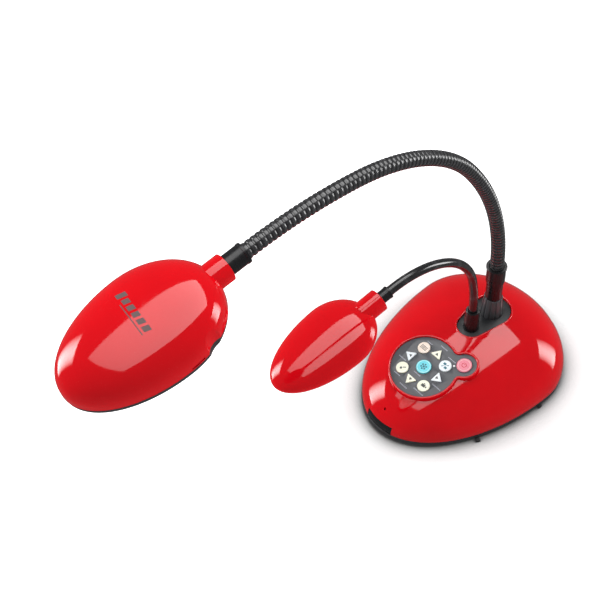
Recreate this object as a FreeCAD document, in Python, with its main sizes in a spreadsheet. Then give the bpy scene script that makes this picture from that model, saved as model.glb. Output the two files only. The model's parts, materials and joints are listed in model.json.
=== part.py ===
import FreeCAD, Part
import math
import os
import re

import Sketcher
from FreeCAD import Placement, Rotation, Vector

# Video magnifier: an egg-shaped weighted base with a key panel, a long gooseneck that carries a camera head
# and a short, thin gooseneck that carries a lamp head.
# +X is the user's right, +Y points away from the user, +Z is up. The origin is under the middle foot.

doc = FreeCAD.newDocument("VideoMagnifier")
sheet = doc.addObject("Spreadsheet::Sheet", "Sizes")

SIZES = {
    # base cover: two half eggs that meet at the widest section
    "base_half_width": 87.7,
    "base_front": 150.4,
    "base_rear": 70.9,
    "base_widest_y": 27.7,
    "dome_height": 51.8,
    "equator_z": 10.6,
    "cover_edge_z": 8.5,
    "cover_wall": 2.5,
    # bottom tub, feet and ballast
    "foot_height": 3.4,
    "foot_radius": 6.5,
    "front_foot_x": 50.0,
    "front_foot_y": -74.0,
    "rear_foot_x": 58.0,
    "rear_foot_y": 58.0,
    "tub_inset": 0.9,
    "tub_wall": 2.4,
    "ballast_thickness": 9.0,
    "ballast_inset": 16.0,
    "post_radius": 4.0,
    "post_gap": 1.0,
    "front_screw_x": 40.0,
    "front_screw_y": -66.0,
    "rear_screw_x": 62.0,
    "rear_screw_y": 36.0,
    "screw_radius": 1.5,
    "screw_head_radius": 2.9,
    "screw_head_height": 1.8,
    # front window and microphone
    "window_half_width": 16.5,
    "window_top_z": 18.5,
    "window_gap": 0.15,
    "microphone_y": -110.9,
    "microphone_hole": 1.1,
    "microphone_radius": 3.0,
    "microphone_height": 2.5,
    # key panel
    "panel_y": -59.6,
    "panel_z": 51.0,
    "panel_tilt": 11.0,
    "panel_radius": 33.0,
    "lobe_radius": 12.3,
    "panel_fillet": 6.0,
    "panel_depth": 1.6,
    "overlay_thickness": 1.2,
    "overlay_gap": 0.15,
    "lip_width": 2.4,
    "ledge_width": 4.0,
    "pod_depth": 7.0,
    "tool_reach": 30.0,
    "cover_screw_depth": 12.0,
    "cover_screw_grip": 6.0,
    "small_head_height": 1.2,
    "foot_taper": 1.0,
    "socket_floor": 2.0,
    "flute_count": 12.0,
    "sleeve_shoulder": 1.0,
    "head_screw_depth": 8.0,
    "head_screw_grip": 5.0,
    # keys
    "round_key_radius": 6.25,
    "round_key_ring": 21.0,
    "centre_key_radius": 7.5,
    "power_key_radius": 7.6,
    "power_key_ring": 39.5,
    "triangle_ring": 18.6,
    "triangle_base": 12.4,
    "triangle_length": 9.6,
    "triangle_corner": 0.8,
    "key_gap": 0.35,
    "key_rise": 0.9,
    "key_height": 4.9,
    "key_travel": 0.8,
    "key_edge": 0.4,
    "indicator_radius": 1.0,
    "indicator_ring": 29.6,
    "mat_thickness": 1.0,
    "mat_dome_slope": 0.8,
    "mat_dome_radius": 4.5,
    "board_thickness": 1.6,
    "key_board_inset": 1.0,
    "board_screw_radius": 1.0,
    "board_screw_head": 2.1,
    "board_screw_length": 5.0,
    "fit_gap": 0.1,
    # main board and rear connectors
    "main_board_z": 15.6,
    "main_board_width": 96.0,
    "main_board_depth": 78.0,
    "main_board_y": 38.0,
    "board_post_radius": 3.5,
    "board_screw_inset": 6.0,
    "rear_panel_y": 83.0,
    "rear_panel_half_width": 36.0,
    "rear_panel_height": 22.0,
    "rear_panel_thickness": 2.0,
    "rear_ledge": 2.0,
    "socket_depth": 12.0,
    "socket_z": 22.5,
    "power_socket_x": -24.0,
    "power_socket_radius": 5.0,
    "power_bore_radius": 3.2,
    "power_pin_radius": 1.0,
    "video_socket_x": 0.0,
    "video_socket_width": 15.0,
    "video_socket_height": 5.2,
    "data_socket_x": 26.0,
    "data_socket_width": 8.6,
    "data_socket_height": 7.8,
    "socket_wall": 0.8,
    # plate that the necks stand on
    "plate_top_z": 59.0,
    "plate_thickness": 3.0,
    "plate_depth": 2.0,
    "plate_front_radius": 14.0,
    "plate_rear_radius": 19.0,
    "plate_gap": 0.15,
    "plate_lip": 2.0,
    "plate_ledge": 3.0,
    "plate_pod_depth": 3.0,
    # main neck
    "main_root_y": 33.7,
    "main_turn": 2.2,
    "main_neck_radius": 7.0,
    "main_neck_bore": 4.6,
    "cable_bore": 3.5,
    "socket_height": 25.0,
    "socket_foot_radius": 11.5,
    "socket_top_radius": 9.2,
    "flute_radius": 1.1,
    "sleeve_height": 46.2,
    "sleeve_radius": 9.4,
    "sleeve_waist_radius": 8.3,
    "sleeve_waist_height": 24.0,
    "sleeve_flange_radius": 10.2,
    "sleeve_flange_height": 1.8,
    "sleeve_clearance": 0.2,
    "sleeve_bore_depth": 26.0,
    "spigot_radius": 5.8,
    "spigot_length": 11.0,
    "main_nut_flats": 17.0,
    "nut_height": 5.0,
    "neck_gap": 1.6,
    "lower_arc_length": 176.7,
    "lower_arc_angle": 32.6,
    "middle_arc_length": 154.9,
    "middle_arc_angle": 50.3,
    "end_arc_length": 113.1,
    "end_arc_angle": 16.6,
    # lamp neck
    "lamp_root_y": 5.1,
    "lamp_turn": 2.2,
    "lamp_neck_radius": 4.4,
    "lamp_neck_bore": 2.6,
    "lamp_sleeve_foot_radius": 8.0,
    "lamp_sleeve_top_radius": 6.8,
    "lamp_sleeve_height": 26.7,
    "lamp_sleeve_bore_depth": 12.0,
    "lamp_cable_bore": 1.9,
    "lamp_spigot_radius": 4.0,
    "lamp_nut_flats": 12.0,
    "lamp_first_arc_length": 47.2,
    "lamp_first_arc_angle": 10.6,
    "lamp_second_arc_length": 143.7,
    "lamp_second_arc_angle": 90.4,
    # ferrules and collars
    "ferrule_radius": 9.3,
    "ferrule_length": 18.0,
    "ferrule_bore": 3.0,
    "pivot_radius": 5.2,
    "pivot_length": 11.0,
    "pivot_clearance": 0.3,
    "collar_radius": 12.1,
    "collar_length": 11.2,
    "lamp_ferrule_radius": 6.1,
    "lamp_ferrule_length": 11.0,
    "lamp_ferrule_bore": 1.8,
    "lamp_pivot_radius": 3.6,
    "lamp_pivot_length": 9.0,
    "lamp_collar_radius": 10.8,
    "lamp_collar_length": 13.0,
    # camera head
    "head_half_width": 49.5,
    "head_front": 84.4,
    "head_rear": 61.5,
    "head_top": 30.0,
    "head_split": 3.5,
    "head_bottom_depth": 6.5,
    "head_bottom_inset": 0.8,
    "head_wall": 2.2,
    "head_edge": 2.5,
    "collar_seat": 10.0,
    "head_drop": 4.5,
    "scallop_x": 56.5,
    "scallop_y": 30.0,
    "scallop_radius": 15.2,
    "slot_length": 13.0,
    "slot_height": 1.8,
    "slot_y": 7.0,
    "lens_y": -28.0,
    "barrel_radius": 12.0,
    "barrel_flange_radius": 15.5,
    "barrel_flange_height": 2.0,
    "barrel_drop": 4.0,
    "barrel_height": 13.0,
    "lens_radius": 8.8,
    "lens_seat": 1.3,
    "lens_thickness": 1.6,
    "lens_recess": 1.4,
    "camera_board_size": 38.0,
    "sensor_size": 10.0,
    "sensor_height": 1.4,
    "head_screw_x": 27.0,
    "head_front_screw_y": -52.0,
    "head_rear_screw_y": 22.0,
    "head_boss_radius": 3.2,
    # lamp head
    "lamp_half_width": 34.0,
    "lamp_front": 71.8,
    "lamp_rear": 37.6,
    "lamp_top": 17.0,
    "lamp_cut": 8.5,
    "lamp_wall": 2.0,
    "lamp_drop": 1.5,
    "diffuser_thickness": 1.6,
    "diffuser_gap": 0.4,
    "led_board_z": -2.4,
    "led_size": 5.0,
    "led_height": 1.6,
    "led_pitch": 14.0,
}

for row, (alias, number) in enumerate(SIZES.items(), start=1):
    sheet.set(f"A{row}", alias)
    sheet.set(f"B{row}", str(number))
    sheet.setAlias(f"B{row}", alias)
doc.recompute()


class Values:
    """The sheet's numbers, for the code that places things."""


S = Values()
for alias in SIZES:
    setattr(S, alias, float(sheet.get(alias)))

NODES = {}
UP = Vector(0, 0, 1)
ACROSS = Vector(1, 0, 0)


def formula(text):
    """Turn plain size names into references to the sheet."""
    return re.sub(r"[a-z][a-z_]+[a-z]", lambda m: "Sizes." + m[0] if m[0] in SIZES else m[0], str(text))


def at(x=0.0, y=0.0, z=0.0, axis=UP, angle=0.0):
    return Placement(Vector(x, y, z), Rotation(axis, angle))


def primitive(kind, place=None, **sizes):
    item = doc.addObject("Part::" + kind, kind)
    for name, text in sizes.items():
        item.setExpression(name, formula(text))
    item.Placement = place or Placement()
    return item


def cut(base, *tools):
    item = doc.addObject("Part::Cut", "Cut")
    item.Base = base
    item.Tool = tools[0] if len(tools) == 1 else fuse(*tools)
    return item


def fuse(*parts):
    item = doc.addObject("Part::MultiFuse", "Fuse")
    item.Shapes = list(parts)
    return item


def common(*parts):
    item = doc.addObject("Part::MultiCommon", "Common")
    item.Shapes = list(parts)
    return item


def group(*parts):
    """Separate solids that share one node."""
    item = doc.addObject("Part::Compound", "Group")
    item.Links = list(parts)
    return item


def node(label, item, place=None):
    item.Label = label
    if place is not None:
        item.Placement = place
    NODES[label] = item
    return item


def origin_plane(body, role):
    return next(f for f in body.Origin.OriginFeatures if f.Role == role)


def new_sketch(body, role):
    sketch = body.newObject("Sketcher::SketchObject", "Sketch")
    sketch.AttachmentSupport = (origin_plane(body, role), [""])
    sketch.MapMode = "FlatFace"
    return sketch


def bind(sketch, kind, *where):
    """Add a measured constraint that starts at the drawn size; the last argument is its formula."""
    *picked, text = where
    if kind == "Radius":
        drawn = sketch.Geometry[picked[0]].Radius
    else:
        spot = sketch.getPoint(*picked[-2:])
        drawn = spot.x if kind == "DistanceX" else spot.y
    index = sketch.addConstraint(Sketcher.Constraint(kind, *picked, drawn))
    sketch.setExpression(f"Constraints[{index}]", formula(text))


def draw_polygon(sketch, corners):
    """A closed outline whose corners are pairs of formulas."""
    count = len(corners)
    first = sketch.GeometryCount
    for i in range(count):
        turn = 2 * math.pi * i / count
        after = 2 * math.pi * (i + 1) / count
        start = Vector(10 + 5 * math.cos(turn), 10 + 5 * math.sin(turn), 0)
        end = Vector(10 + 5 * math.cos(after), 10 + 5 * math.sin(after), 0)
        sketch.addGeometry(Part.LineSegment(start, end), False)
    for i in range(count):
        line = first + i
        sketch.addConstraint(Sketcher.Constraint("Coincident", line, 2, first + (i + 1) % count, 1))
        bind(sketch, "DistanceX", -1, 1, line, 1, corners[i][0])
        bind(sketch, "DistanceY", -1, 1, line, 1, corners[i][1])


def draw_circle(sketch, x, y, radius):
    index = sketch.addGeometry(Part.Circle(Vector(1, 1, 0), UP, 1), False)
    bind(sketch, "DistanceX", -1, 1, index, 3, x)
    bind(sketch, "DistanceY", -1, 1, index, 3, y)
    bind(sketch, "Radius", index, radius)


def turned(label, corners, place=None):
    """A turned piece: corners of (radius, height) revolved about Z."""
    body = doc.addObject("PartDesign::Body", label)
    sketch = new_sketch(body, "XZ_Plane")
    draw_polygon(sketch, corners)
    turn = body.newObject("PartDesign::Revolution", "Revolution")
    turn.Profile = sketch
    turn.ReferenceAxis = (sketch, ["V_Axis"])
    turn.Angle = 360
    body.Tip = turn
    body.Placement = place or Placement()
    return body


def padded(label, draw, height, place=None):
    """A flat piece: draw(sketch) padded upwards from the XY plane."""
    body = doc.addObject("PartDesign::Body", label)
    sketch = new_sketch(body, "XY_Plane")
    draw(sketch)
    pad = body.newObject("PartDesign::Pad", "Pad")
    pad.Profile = sketch
    pad.setExpression("Length", formula(height))
    body.Tip = pad
    body.Placement = place or Placement()
    return body


# ---- egg shapes: a front and a rear half that meet at the widest section ----


def egg_dome(width, front, rear, height, y=0.0, z=0.0, low="0"):
    """The upper half of an egg from two part ellipsoids; low = -90 gives the whole egg."""
    halves = []
    for length, angle in ((rear, 0), (front, 180)):
        halves.append(primitive("Ellipsoid", at(0, y, z, UP, angle), Radius1=height, Radius2=width,
                                Radius3=length, Angle1=low, Angle2="90", Angle3="180"))
    return fuse(*halves)


def egg_prism(width, front, rear, bottom, height, y=0.0):
    """An upright prism with an egg outline."""
    reach = 2 * S.base_front
    halves = []
    for length, side in ((front, -1), (rear, 1)):
        edge = doc.addObject("Part::Ellipse", "Ellipse")
        edge.setExpression("MajorRadius", formula(f"max({width}; {length})"))
        edge.setExpression("MinorRadius", formula(f"min({width}; {length})"))
        edge.setExpression("Placement.Rotation.Angle", formula(f"{length} > {width} ? 90 : 0"))
        solid = doc.addObject("Part::Extrusion", "Extrusion")
        solid.Base = edge
        solid.DirMode = "Custom"
        solid.Dir = UP
        solid.setExpression("LengthFwd", formula(height))
        solid.Solid = True
        solid.Placement = at(0, y, bottom)
        half_space = primitive("Box", at(-reach / 2, y if side > 0 else y - reach, bottom - reach / 2))
        half_space.Length = half_space.Width = half_space.Height = reach
        halves.append(common(solid, half_space))
    return fuse(*halves)


# ---- neck paths: tangent arcs in an upright plane ----


class NeckPath:
    """Points and directions along a neck that leaves its root upwards and bends towards the front."""

    def __init__(self, root, turn, arcs):
        self.root = root
        self.turn = turn
        self.arcs = arcs
        self.forward = Vector(-math.sin(math.radians(turn)), -math.cos(math.radians(turn)), 0)

    def length(self):
        return sum(length for length, angle in self.arcs)

    def frame(self, distance):
        """Distance along the neck to (point, angle from upright in degrees)."""
        out, up, lean = 0.0, 0.0, 0.0
        for length, angle in self.arcs:
            step = min(length, distance)
            radius = length / math.radians(angle)
            new_lean = lean + step / radius
            out += radius * (math.cos(lean) - math.cos(new_lean))
            up += radius * (math.sin(new_lean) - math.sin(lean))
            lean = new_lean
            distance -= step
            if distance <= 1e-9:
                break
        out += distance * math.sin(lean)
        up += distance * math.cos(lean)
        return self.root + self.forward * out + UP * up, math.degrees(lean)

    def place(self, distance):
        """Placement whose Z runs along the neck and whose Y points to the outside of its bend."""
        point, lean = self.frame(distance)
        return Placement(point, Rotation(UP, -self.turn) * Rotation(ACROSS, lean))


def neck_link(label, path, start, end, radius, bore, arc):
    """One stretch of gooseneck: a tube bent to the arc that it lies on."""
    length, angle = arc
    bend_radius = length / math.radians(angle)
    sweep = math.degrees((end - start) / bend_radius)
    shells = []
    for tube in (radius, bore):
        torus = primitive("Torus", None, Radius2=tube)
        torus.Radius1 = bend_radius
        torus.Angle3 = sweep
        shells.append(torus)
    # the ring lies flat with its start at +X of its centre: stand it up so that it leaves along Z
    upright = Rotation(Vector(0, 1, 0), Vector(0, 0, 1), Vector(1, 0, 0), "XYZ")
    stand = Placement(Vector(0, -bend_radius, 0), upright)
    link = cut(*shells)
    return node(label, link, path.place(start).multiply(stand))


def screws(label, spots, radius, length, head, head_height, flip=False, place=None):
    """Identical screws whose heads sit at the spots and whose shanks point up (down when flipped)."""
    solids = []
    for x, y, z in spots:
        turn = 180 if flip else 0
        shank = primitive("Cylinder", at(x, y, z, ACROSS, turn), Radius=radius, Height=length)
        cap = primitive("Cylinder", at(x, y, z, ACROSS, turn), Radius=head, Height=head_height)
        drive = primitive("Prism", at(x, y, z, ACROSS, turn), Circumradius=f"{head} * 0.5",
                          Height=f"{head_height} * 0.6")
        solids.append(cut(fuse(shank, cap), drive))
    return node(label, group(*solids), place)


# ---- base: cover, tub, ballast ----


def base_egg(inset, bottom, height):
    """Upright prism with the outline of the base, drawn in by the inset."""
    return egg_prism(f"base_half_width - {inset}", f"base_front - {inset}", f"base_rear - {inset}", bottom,
                     height, S.base_widest_y)


def base_solid(inset, below=0.0):
    """The cover's full egg, drawn in by the inset; below extends it under the cover's edge."""
    dome = egg_dome(f"base_half_width - {inset}", f"base_front - {inset}", f"base_rear - {inset}",
                    f"dome_height - {inset}", S.base_widest_y, S.equator_z)
    skirt = base_egg(inset, S.cover_edge_z - below, f"equator_z - cover_edge_z + {below}")
    return fuse(dome, skirt)


def dome_z(x, y, inset=0.0):
    """Height of the dome at a point of the plan."""
    length = (S.base_front if y < S.base_widest_y else S.base_rear) - inset
    across = x / (S.base_half_width - inset)
    along = (y - S.base_widest_y) / length
    return S.equator_z + (S.dome_height - inset) * math.sqrt(1 - across**2 - along**2)


PANEL = at(0, S.panel_y, S.panel_z, ACROSS, S.panel_tilt)


def on_panel(z, x=0.0, y=0.0):
    """Place on the key panel's own frame; its top face is at z = 0."""
    return PANEL.multiply(at(x, y, z))


def draw_panel(grow):
    """The panel's outline: a disc and a lobe for the power key, joined by hollow fillets."""

    def draw(sketch):
        extra = {"lip_width": S.lip_width, "overlay_gap": S.overlay_gap, "0": 0.0,
                 "-ledge_width": -S.ledge_width, "-ledge_width - overlay_gap": -S.ledge_width - S.overlay_gap,
                 "-key_board_inset": -S.key_board_inset}[grow]
        disc, lobe, hollow = S.panel_radius + extra, S.lobe_radius + extra, S.panel_fillet - extra
        span = S.power_key_ring
        along = ((disc + hollow) ** 2 - (lobe + hollow) ** 2 + span**2) / (2 * span)
        aside = math.sqrt((disc + hollow) ** 2 - along**2)
        tilt = math.pi / 4
        from_disc = math.atan2(aside, along)
        from_lobe = math.atan2(aside, along - span)

        def spot(u, v):
            return Vector(u * math.cos(tilt) - v * math.sin(tilt), u * math.sin(tilt) + v * math.cos(tilt), 0)

        def arc(centre, radius, start, end):
            circle = Part.Circle(centre, UP, radius)
            return sketch.addGeometry(Part.ArcOfCircle(circle, start + tilt, end + tilt), False)

        big = arc(spot(0, 0), disc, from_disc, 2 * math.pi - from_disc)
        small = arc(spot(span, 0), lobe, -from_lobe, from_lobe)
        upper = arc(spot(along, aside), hollow, from_disc - math.pi, from_lobe - math.pi)
        lower = arc(spot(along, -aside), hollow, math.pi - from_lobe, math.pi - from_disc)
        for one, one_end, other, other_end in ((big, 1, upper, 1), (upper, 2, small, 2),
                                               (small, 1, lower, 1), (lower, 2, big, 2)):
            sketch.addConstraint(Sketcher.Constraint("Tangent", one, one_end, other, other_end))
        sketch.addConstraint(Sketcher.Constraint("Coincident", big, 3, -1, 1))
        bind(sketch, "DistanceX", -1, 1, small, 3, "power_key_ring * cos(45)")
        bind(sketch, "DistanceY", -1, 1, small, 3, "power_key_ring * sin(45)")
        bind(sketch, "Radius", big, f"panel_radius + ({grow})")
        bind(sketch, "Radius", small, f"lobe_radius + ({grow})")
        bind(sketch, "Radius", upper, f"panel_fillet - ({grow})")
        bind(sketch, "Radius", lower, f"panel_fillet - ({grow})")

    return draw


def draw_plate(grow):
    """The neck plate's outline: two arcs and the lines that touch both."""

    def draw(sketch):
        extra = {"plate_lip": S.plate_lip, "plate_gap": S.plate_gap, "0": 0.0,
                 "-plate_ledge": -S.plate_ledge}[grow]
        small, large = S.plate_front_radius + extra, S.plate_rear_radius + extra
        near, far = Vector(0, S.lamp_root_y, 0), Vector(0, S.main_root_y, 0)
        lean = math.asin((small - large) / (far.y - near.y))
        side = Vector(math.cos(lean), math.sin(lean), 0)
        other = Vector(-side.x, side.y, 0)
        rear = sketch.addGeometry(Part.ArcOfCircle(Part.Circle(far, UP, large), lean, math.pi - lean), False)
        front = sketch.addGeometry(Part.ArcOfCircle(Part.Circle(near, UP, small), math.pi - lean,
                                                    2 * math.pi + lean), False)
        right = sketch.addGeometry(Part.LineSegment(near + side * small, far + side * large), False)
        left = sketch.addGeometry(Part.LineSegment(far + other * large, near + other * small), False)
        for line, line_end, arc, arc_end in ((right, 1, front, 2), (right, 2, rear, 1),
                                             (left, 1, rear, 2), (left, 2, front, 1)):
            sketch.addConstraint(Sketcher.Constraint("Tangent", line, line_end, arc, arc_end))
        for arc, spot, radius in ((front, "lamp_root_y", "plate_front_radius"),
                                  (rear, "main_root_y", "plate_rear_radius")):
            sketch.addConstraint(Sketcher.Constraint("PointOnObject", arc, 3, -2))
            bind(sketch, "DistanceY", -1, 1, arc, 3, spot)
            bind(sketch, "Radius", arc, f"{radius} + ({grow})")

    return draw


SCREW_SPOTS = [(x, y) for x, y in ((S.front_screw_x, S.front_screw_y), (-S.front_screw_x, S.front_screw_y),
                                   (S.rear_screw_x, S.rear_screw_y), (-S.rear_screw_x, S.rear_screw_y))]
TUB_FLOOR = S.foot_height + S.tub_wall
REAR_TOP = S.cover_edge_z + S.rear_panel_height
BOARD_SPOTS = [(side * (S.main_board_width / 2 - S.board_screw_inset),
                S.main_board_y + row * (S.main_board_depth / 2 - S.board_screw_inset))
               for side in (-1, 1) for row in (-1, 1)]


def pegs(spots, bottom, radius, height):
    """Upright cylinders that stand at the spots."""
    return [primitive("Cylinder", at(x, y, bottom), Radius=radius, Height=height) for x, y in spots]


def block(x, y, z, width, depth, height):
    """A box centred across x; y and z are its low corner."""
    item = primitive("Box", at(x, y, z), Length=width, Width=depth, Height=height)
    item.setExpression("Placement.Base.x", formula(f"{x} - ({width}) / 2"))
    return item


def build_base():
    full = base_solid("0")
    hollow = base_solid("cover_wall", 1.0)
    rear_bay = common(block(0, S.rear_panel_y - S.rear_ledge, S.cover_edge_z,
                            "2 * (rear_panel_half_width + rear_ledge)", "tool_reach",
                            "rear_panel_height + rear_ledge"), full)
    bosses = common(fuse(*pegs(SCREW_SPOTS, S.cover_edge_z, "post_radius", "dome_height")), full)
    panel_pod = padded("panel_pod", draw_panel("lip_width"), "pod_depth + panel_depth",
                       on_panel(-S.pod_depth))
    plate_low = S.plate_top_z - S.plate_thickness
    plate_pod = padded("plate_pod", draw_plate("plate_lip"),
                       "plate_pod_depth + plate_thickness + plate_depth",
                       at(0, 0, plate_low - S.plate_pod_depth))
    body = fuse(cut(full, hollow), rear_bay, bosses, panel_pod, plate_pod)
    panel_pocket = padded("panel_pocket", draw_panel("overlay_gap"), "overlay_thickness + tool_reach",
                          on_panel(-S.overlay_thickness))
    panel_opening = padded("panel_opening", draw_panel("-ledge_width"), "tool_reach", on_panel(-S.tool_reach))
    plate_well = padded("plate_well", draw_plate("plate_gap"), "tool_reach", at(0, 0, plate_low))
    plate_opening = padded("plate_opening", draw_plate("-plate_ledge"), "tool_reach",
                           at(0, 0, plate_low - S.tool_reach))
    notch = block(0, -S.base_front, 0, "2 * window_half_width", "tool_reach + base_widest_y", "window_top_z")
    bay = block(0, S.rear_panel_y, 0, "2 * (rear_panel_half_width + fit_gap)", "tool_reach",
                "cover_edge_z + rear_panel_height + fit_gap")
    bay_opening = block(0, S.rear_panel_y - 2 * S.rear_ledge, 0, "2 * (rear_panel_half_width - rear_ledge)",
                        "3 * rear_ledge", "cover_edge_z + rear_panel_height - rear_ledge")
    voice_hole = primitive("Cylinder", at(0, S.microphone_y, S.equator_z), Radius="microphone_hole",
                           Height="dome_height")
    screw_holes = pegs(SCREW_SPOTS, 0, "screw_radius + fit_gap", "cover_edge_z + cover_screw_depth")
    node("top_cover", cut(body, panel_pocket, panel_opening, plate_well, plate_opening, notch, bay,
                          bay_opening, voice_hole, *screw_holes))

    window_shape = block(0, -S.base_front, 0, "2 * (window_half_width - window_gap)",
                         "tool_reach + base_widest_y", "window_top_z - window_gap")
    node("front_window", common(cut(full, hollow), window_shape))

    voice_top = dome_z(0, S.microphone_y - S.microphone_radius, S.cover_wall) - S.fit_gap
    node("microphone", primitive("Cylinder", at(0, S.microphone_y, voice_top - S.microphone_height),
                                 Radius="microphone_radius", Height="microphone_height"))

    # tub: floor, rim, posts for the screws and the main board, and a sill under the rear panel
    tub_full = base_egg("tub_inset", S.foot_height, "cover_edge_z - foot_height")
    tub_hollow = base_egg("(tub_inset + tub_wall)", TUB_FLOOR, "tool_reach")
    posts = pegs(SCREW_SPOTS, S.foot_height, "post_radius", "cover_edge_z - foot_height")
    board_posts = pegs(BOARD_SPOTS, S.foot_height, "board_post_radius", "main_board_z - foot_height")
    sill = common(block(0, S.rear_panel_y - S.rear_ledge, S.foot_height, "2 * rear_panel_half_width",
                        "tool_reach", "cover_edge_z - foot_height"), tub_full)
    tub = fuse(cut(tub_full, tub_hollow), sill, *posts, *board_posts)
    shank_holes = pegs(SCREW_SPOTS, 0, "screw_radius + fit_gap", "tool_reach")
    head_holes = pegs(SCREW_SPOTS, 0, "screw_head_radius + fit_gap",
                      "foot_height + screw_head_height + fit_gap")
    board_holes = pegs(BOARD_SPOTS, S.main_board_z - S.board_screw_length, "board_screw_radius + fit_gap",
                       "tool_reach")
    node("bottom_tub", cut(tub, *shank_holes, *head_holes, *board_holes))

    plate = base_egg("ballast_inset", TUB_FLOOR, "ballast_thickness")
    around = pegs(SCREW_SPOTS, 0, "post_radius + post_gap", "tool_reach")
    around += pegs(BOARD_SPOTS, 0, "board_post_radius + post_gap", "tool_reach")
    sill_gap = block(0, S.rear_panel_y - S.rear_ledge - S.post_gap, S.foot_height,
                     "2 * (rear_panel_half_width + post_gap)", "tool_reach", "tool_reach")
    node("ballast_plate", cut(plate, sill_gap, *around))

    feet = [(S.front_foot_x, S.front_foot_y), (-S.front_foot_x, S.front_foot_y),
            (S.rear_foot_x, S.rear_foot_y), (-S.rear_foot_x, S.rear_foot_y), (0, 0)]
    pads = [primitive("Cone", at(x, y, 0), Radius1="foot_radius - foot_taper", Radius2="foot_radius",
                      Height="foot_height") for x, y in feet]
    node("rubber_feet", group(*pads))
    screws("base_screws", [(x, y, S.foot_height) for x, y in SCREW_SPOTS], "screw_radius",
           "cover_edge_z + cover_screw_grip", "screw_head_radius", "screw_head_height")

    # main board and the rear connectors
    board = block(0, S.main_board_y - S.main_board_depth / 2, S.main_board_z, "main_board_width",
                  "main_board_depth", "board_thickness")
    board_screw_holes = pegs(BOARD_SPOTS, 0, "board_screw_radius + fit_gap", "tool_reach")
    node("main_board", cut(board, *board_screw_holes))
    screws("board_screws", [(x, y, S.main_board_z + S.board_thickness + S.small_head_height)
                            for x, y in BOARD_SPOTS], "board_screw_radius", "board_screw_length",
           "board_screw_head", "small_head_height", flip=True)
    build_rear_panel()


def build_rear_panel():
    panel = block(0, S.rear_panel_y, S.cover_edge_z, "2 * rear_panel_half_width", "rear_panel_thickness",
                  "rear_panel_height")
    start = S.rear_panel_y - S.socket_depth
    reach = "socket_depth + rear_panel_thickness"
    lie = Rotation(ACROSS, -90)

    def round_bar(x, radius, y, length):
        return primitive("Cylinder", Placement(Vector(x, y, S.socket_z), lie), Radius=radius, Height=length)

    def bar(x, y, width, depth, height, half_height):
        return block(x, y, S.socket_z - half_height, width, depth, height)

    holes = [round_bar(S.power_socket_x, "power_socket_radius + fit_gap", start, "tool_reach")]
    barrel = round_bar(S.power_socket_x, "power_socket_radius", start, reach)
    bore = round_bar(S.power_socket_x, "power_bore_radius", start + S.socket_floor, reach)
    pin = round_bar(S.power_socket_x, "power_pin_radius", start, "socket_depth")
    node("power_inlet", fuse(cut(barrel, bore), pin))
    for label, kind in (("video_socket", "video"), ("data_socket", "data")):
        middle = getattr(S, kind + "_socket_x")
        inner_width, inner_height = kind + "_socket_width", kind + "_socket_height"
        half = getattr(S, inner_height) / 2
        shell = bar(middle, start, f"{inner_width} + 2 * socket_wall", reach,
                    f"{inner_height} + 2 * socket_wall", half + S.socket_wall)
        mouth = bar(middle, start + S.socket_floor, inner_width, reach, inner_height, half)
        node(label, cut(shell, mouth))
        holes.append(bar(middle, start, f"{inner_width} + 2 * (socket_wall + fit_gap)", "tool_reach",
                         f"{inner_height} + 2 * (socket_wall + fit_gap)", half + S.socket_wall + S.fit_gap))
    node("rear_panel", cut(panel, *holes))


# ---- key panel ----

ROUND_KEYS = {"key_upper_right": 45, "key_upper_left": 135, "key_lower_left": 225, "key_lower_right": 315}
ARROW_KEYS = {"key_right": 0, "key_up": 90, "key_left": 180, "key_down": 270}


def arrow_corners(angle, gap="0"):
    """Corners of a triangle that points away from the panel's centre, grown by a gap."""
    slope = "sqrt(triangle_base^2 / 4 + triangle_length^2) / (triangle_base / 2)"
    tip = f"triangle_ring + triangle_length * 2 / 3 + {gap} * {slope}"
    foot = f"triangle_ring - triangle_length / 3 - {gap}"
    half = f"(triangle_length + {gap} + {gap} * {slope}) * triangle_base / 2 / triangle_length"
    along, aside = round(math.cos(math.radians(angle))), round(math.sin(math.radians(angle)))
    return [(f"({r}) * ({along}) - ({t}) * ({aside})", f"({r}) * ({aside}) + ({t}) * ({along})")
            for r, t in ((tip, "0"), (foot, half), (foot, f"-({half})"))]


def ring_spot(ring, angle):
    return f"{ring} * cos({angle})", f"{ring} * sin({angle})"


def edges_where(feature, test):
    return [f"Edge{i}" for i, edge in enumerate(feature.Shape.Edges, start=1) if test(edge)]


def round_edges(body, radius, test):
    base = body.Tip
    fillet = body.newObject("PartDesign::Fillet", "Fillet")
    fillet.Base = (base, edges_where(base, test))
    fillet.setExpression("Radius", formula(radius))
    body.Tip = fillet
    doc.recompute()


def is_upright(edge):
    ends = [v.Point for v in edge.Vertexes]
    return len(ends) == 2 and (ends[0] - ends[1]).cross(UP).Length < 1e-6


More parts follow.
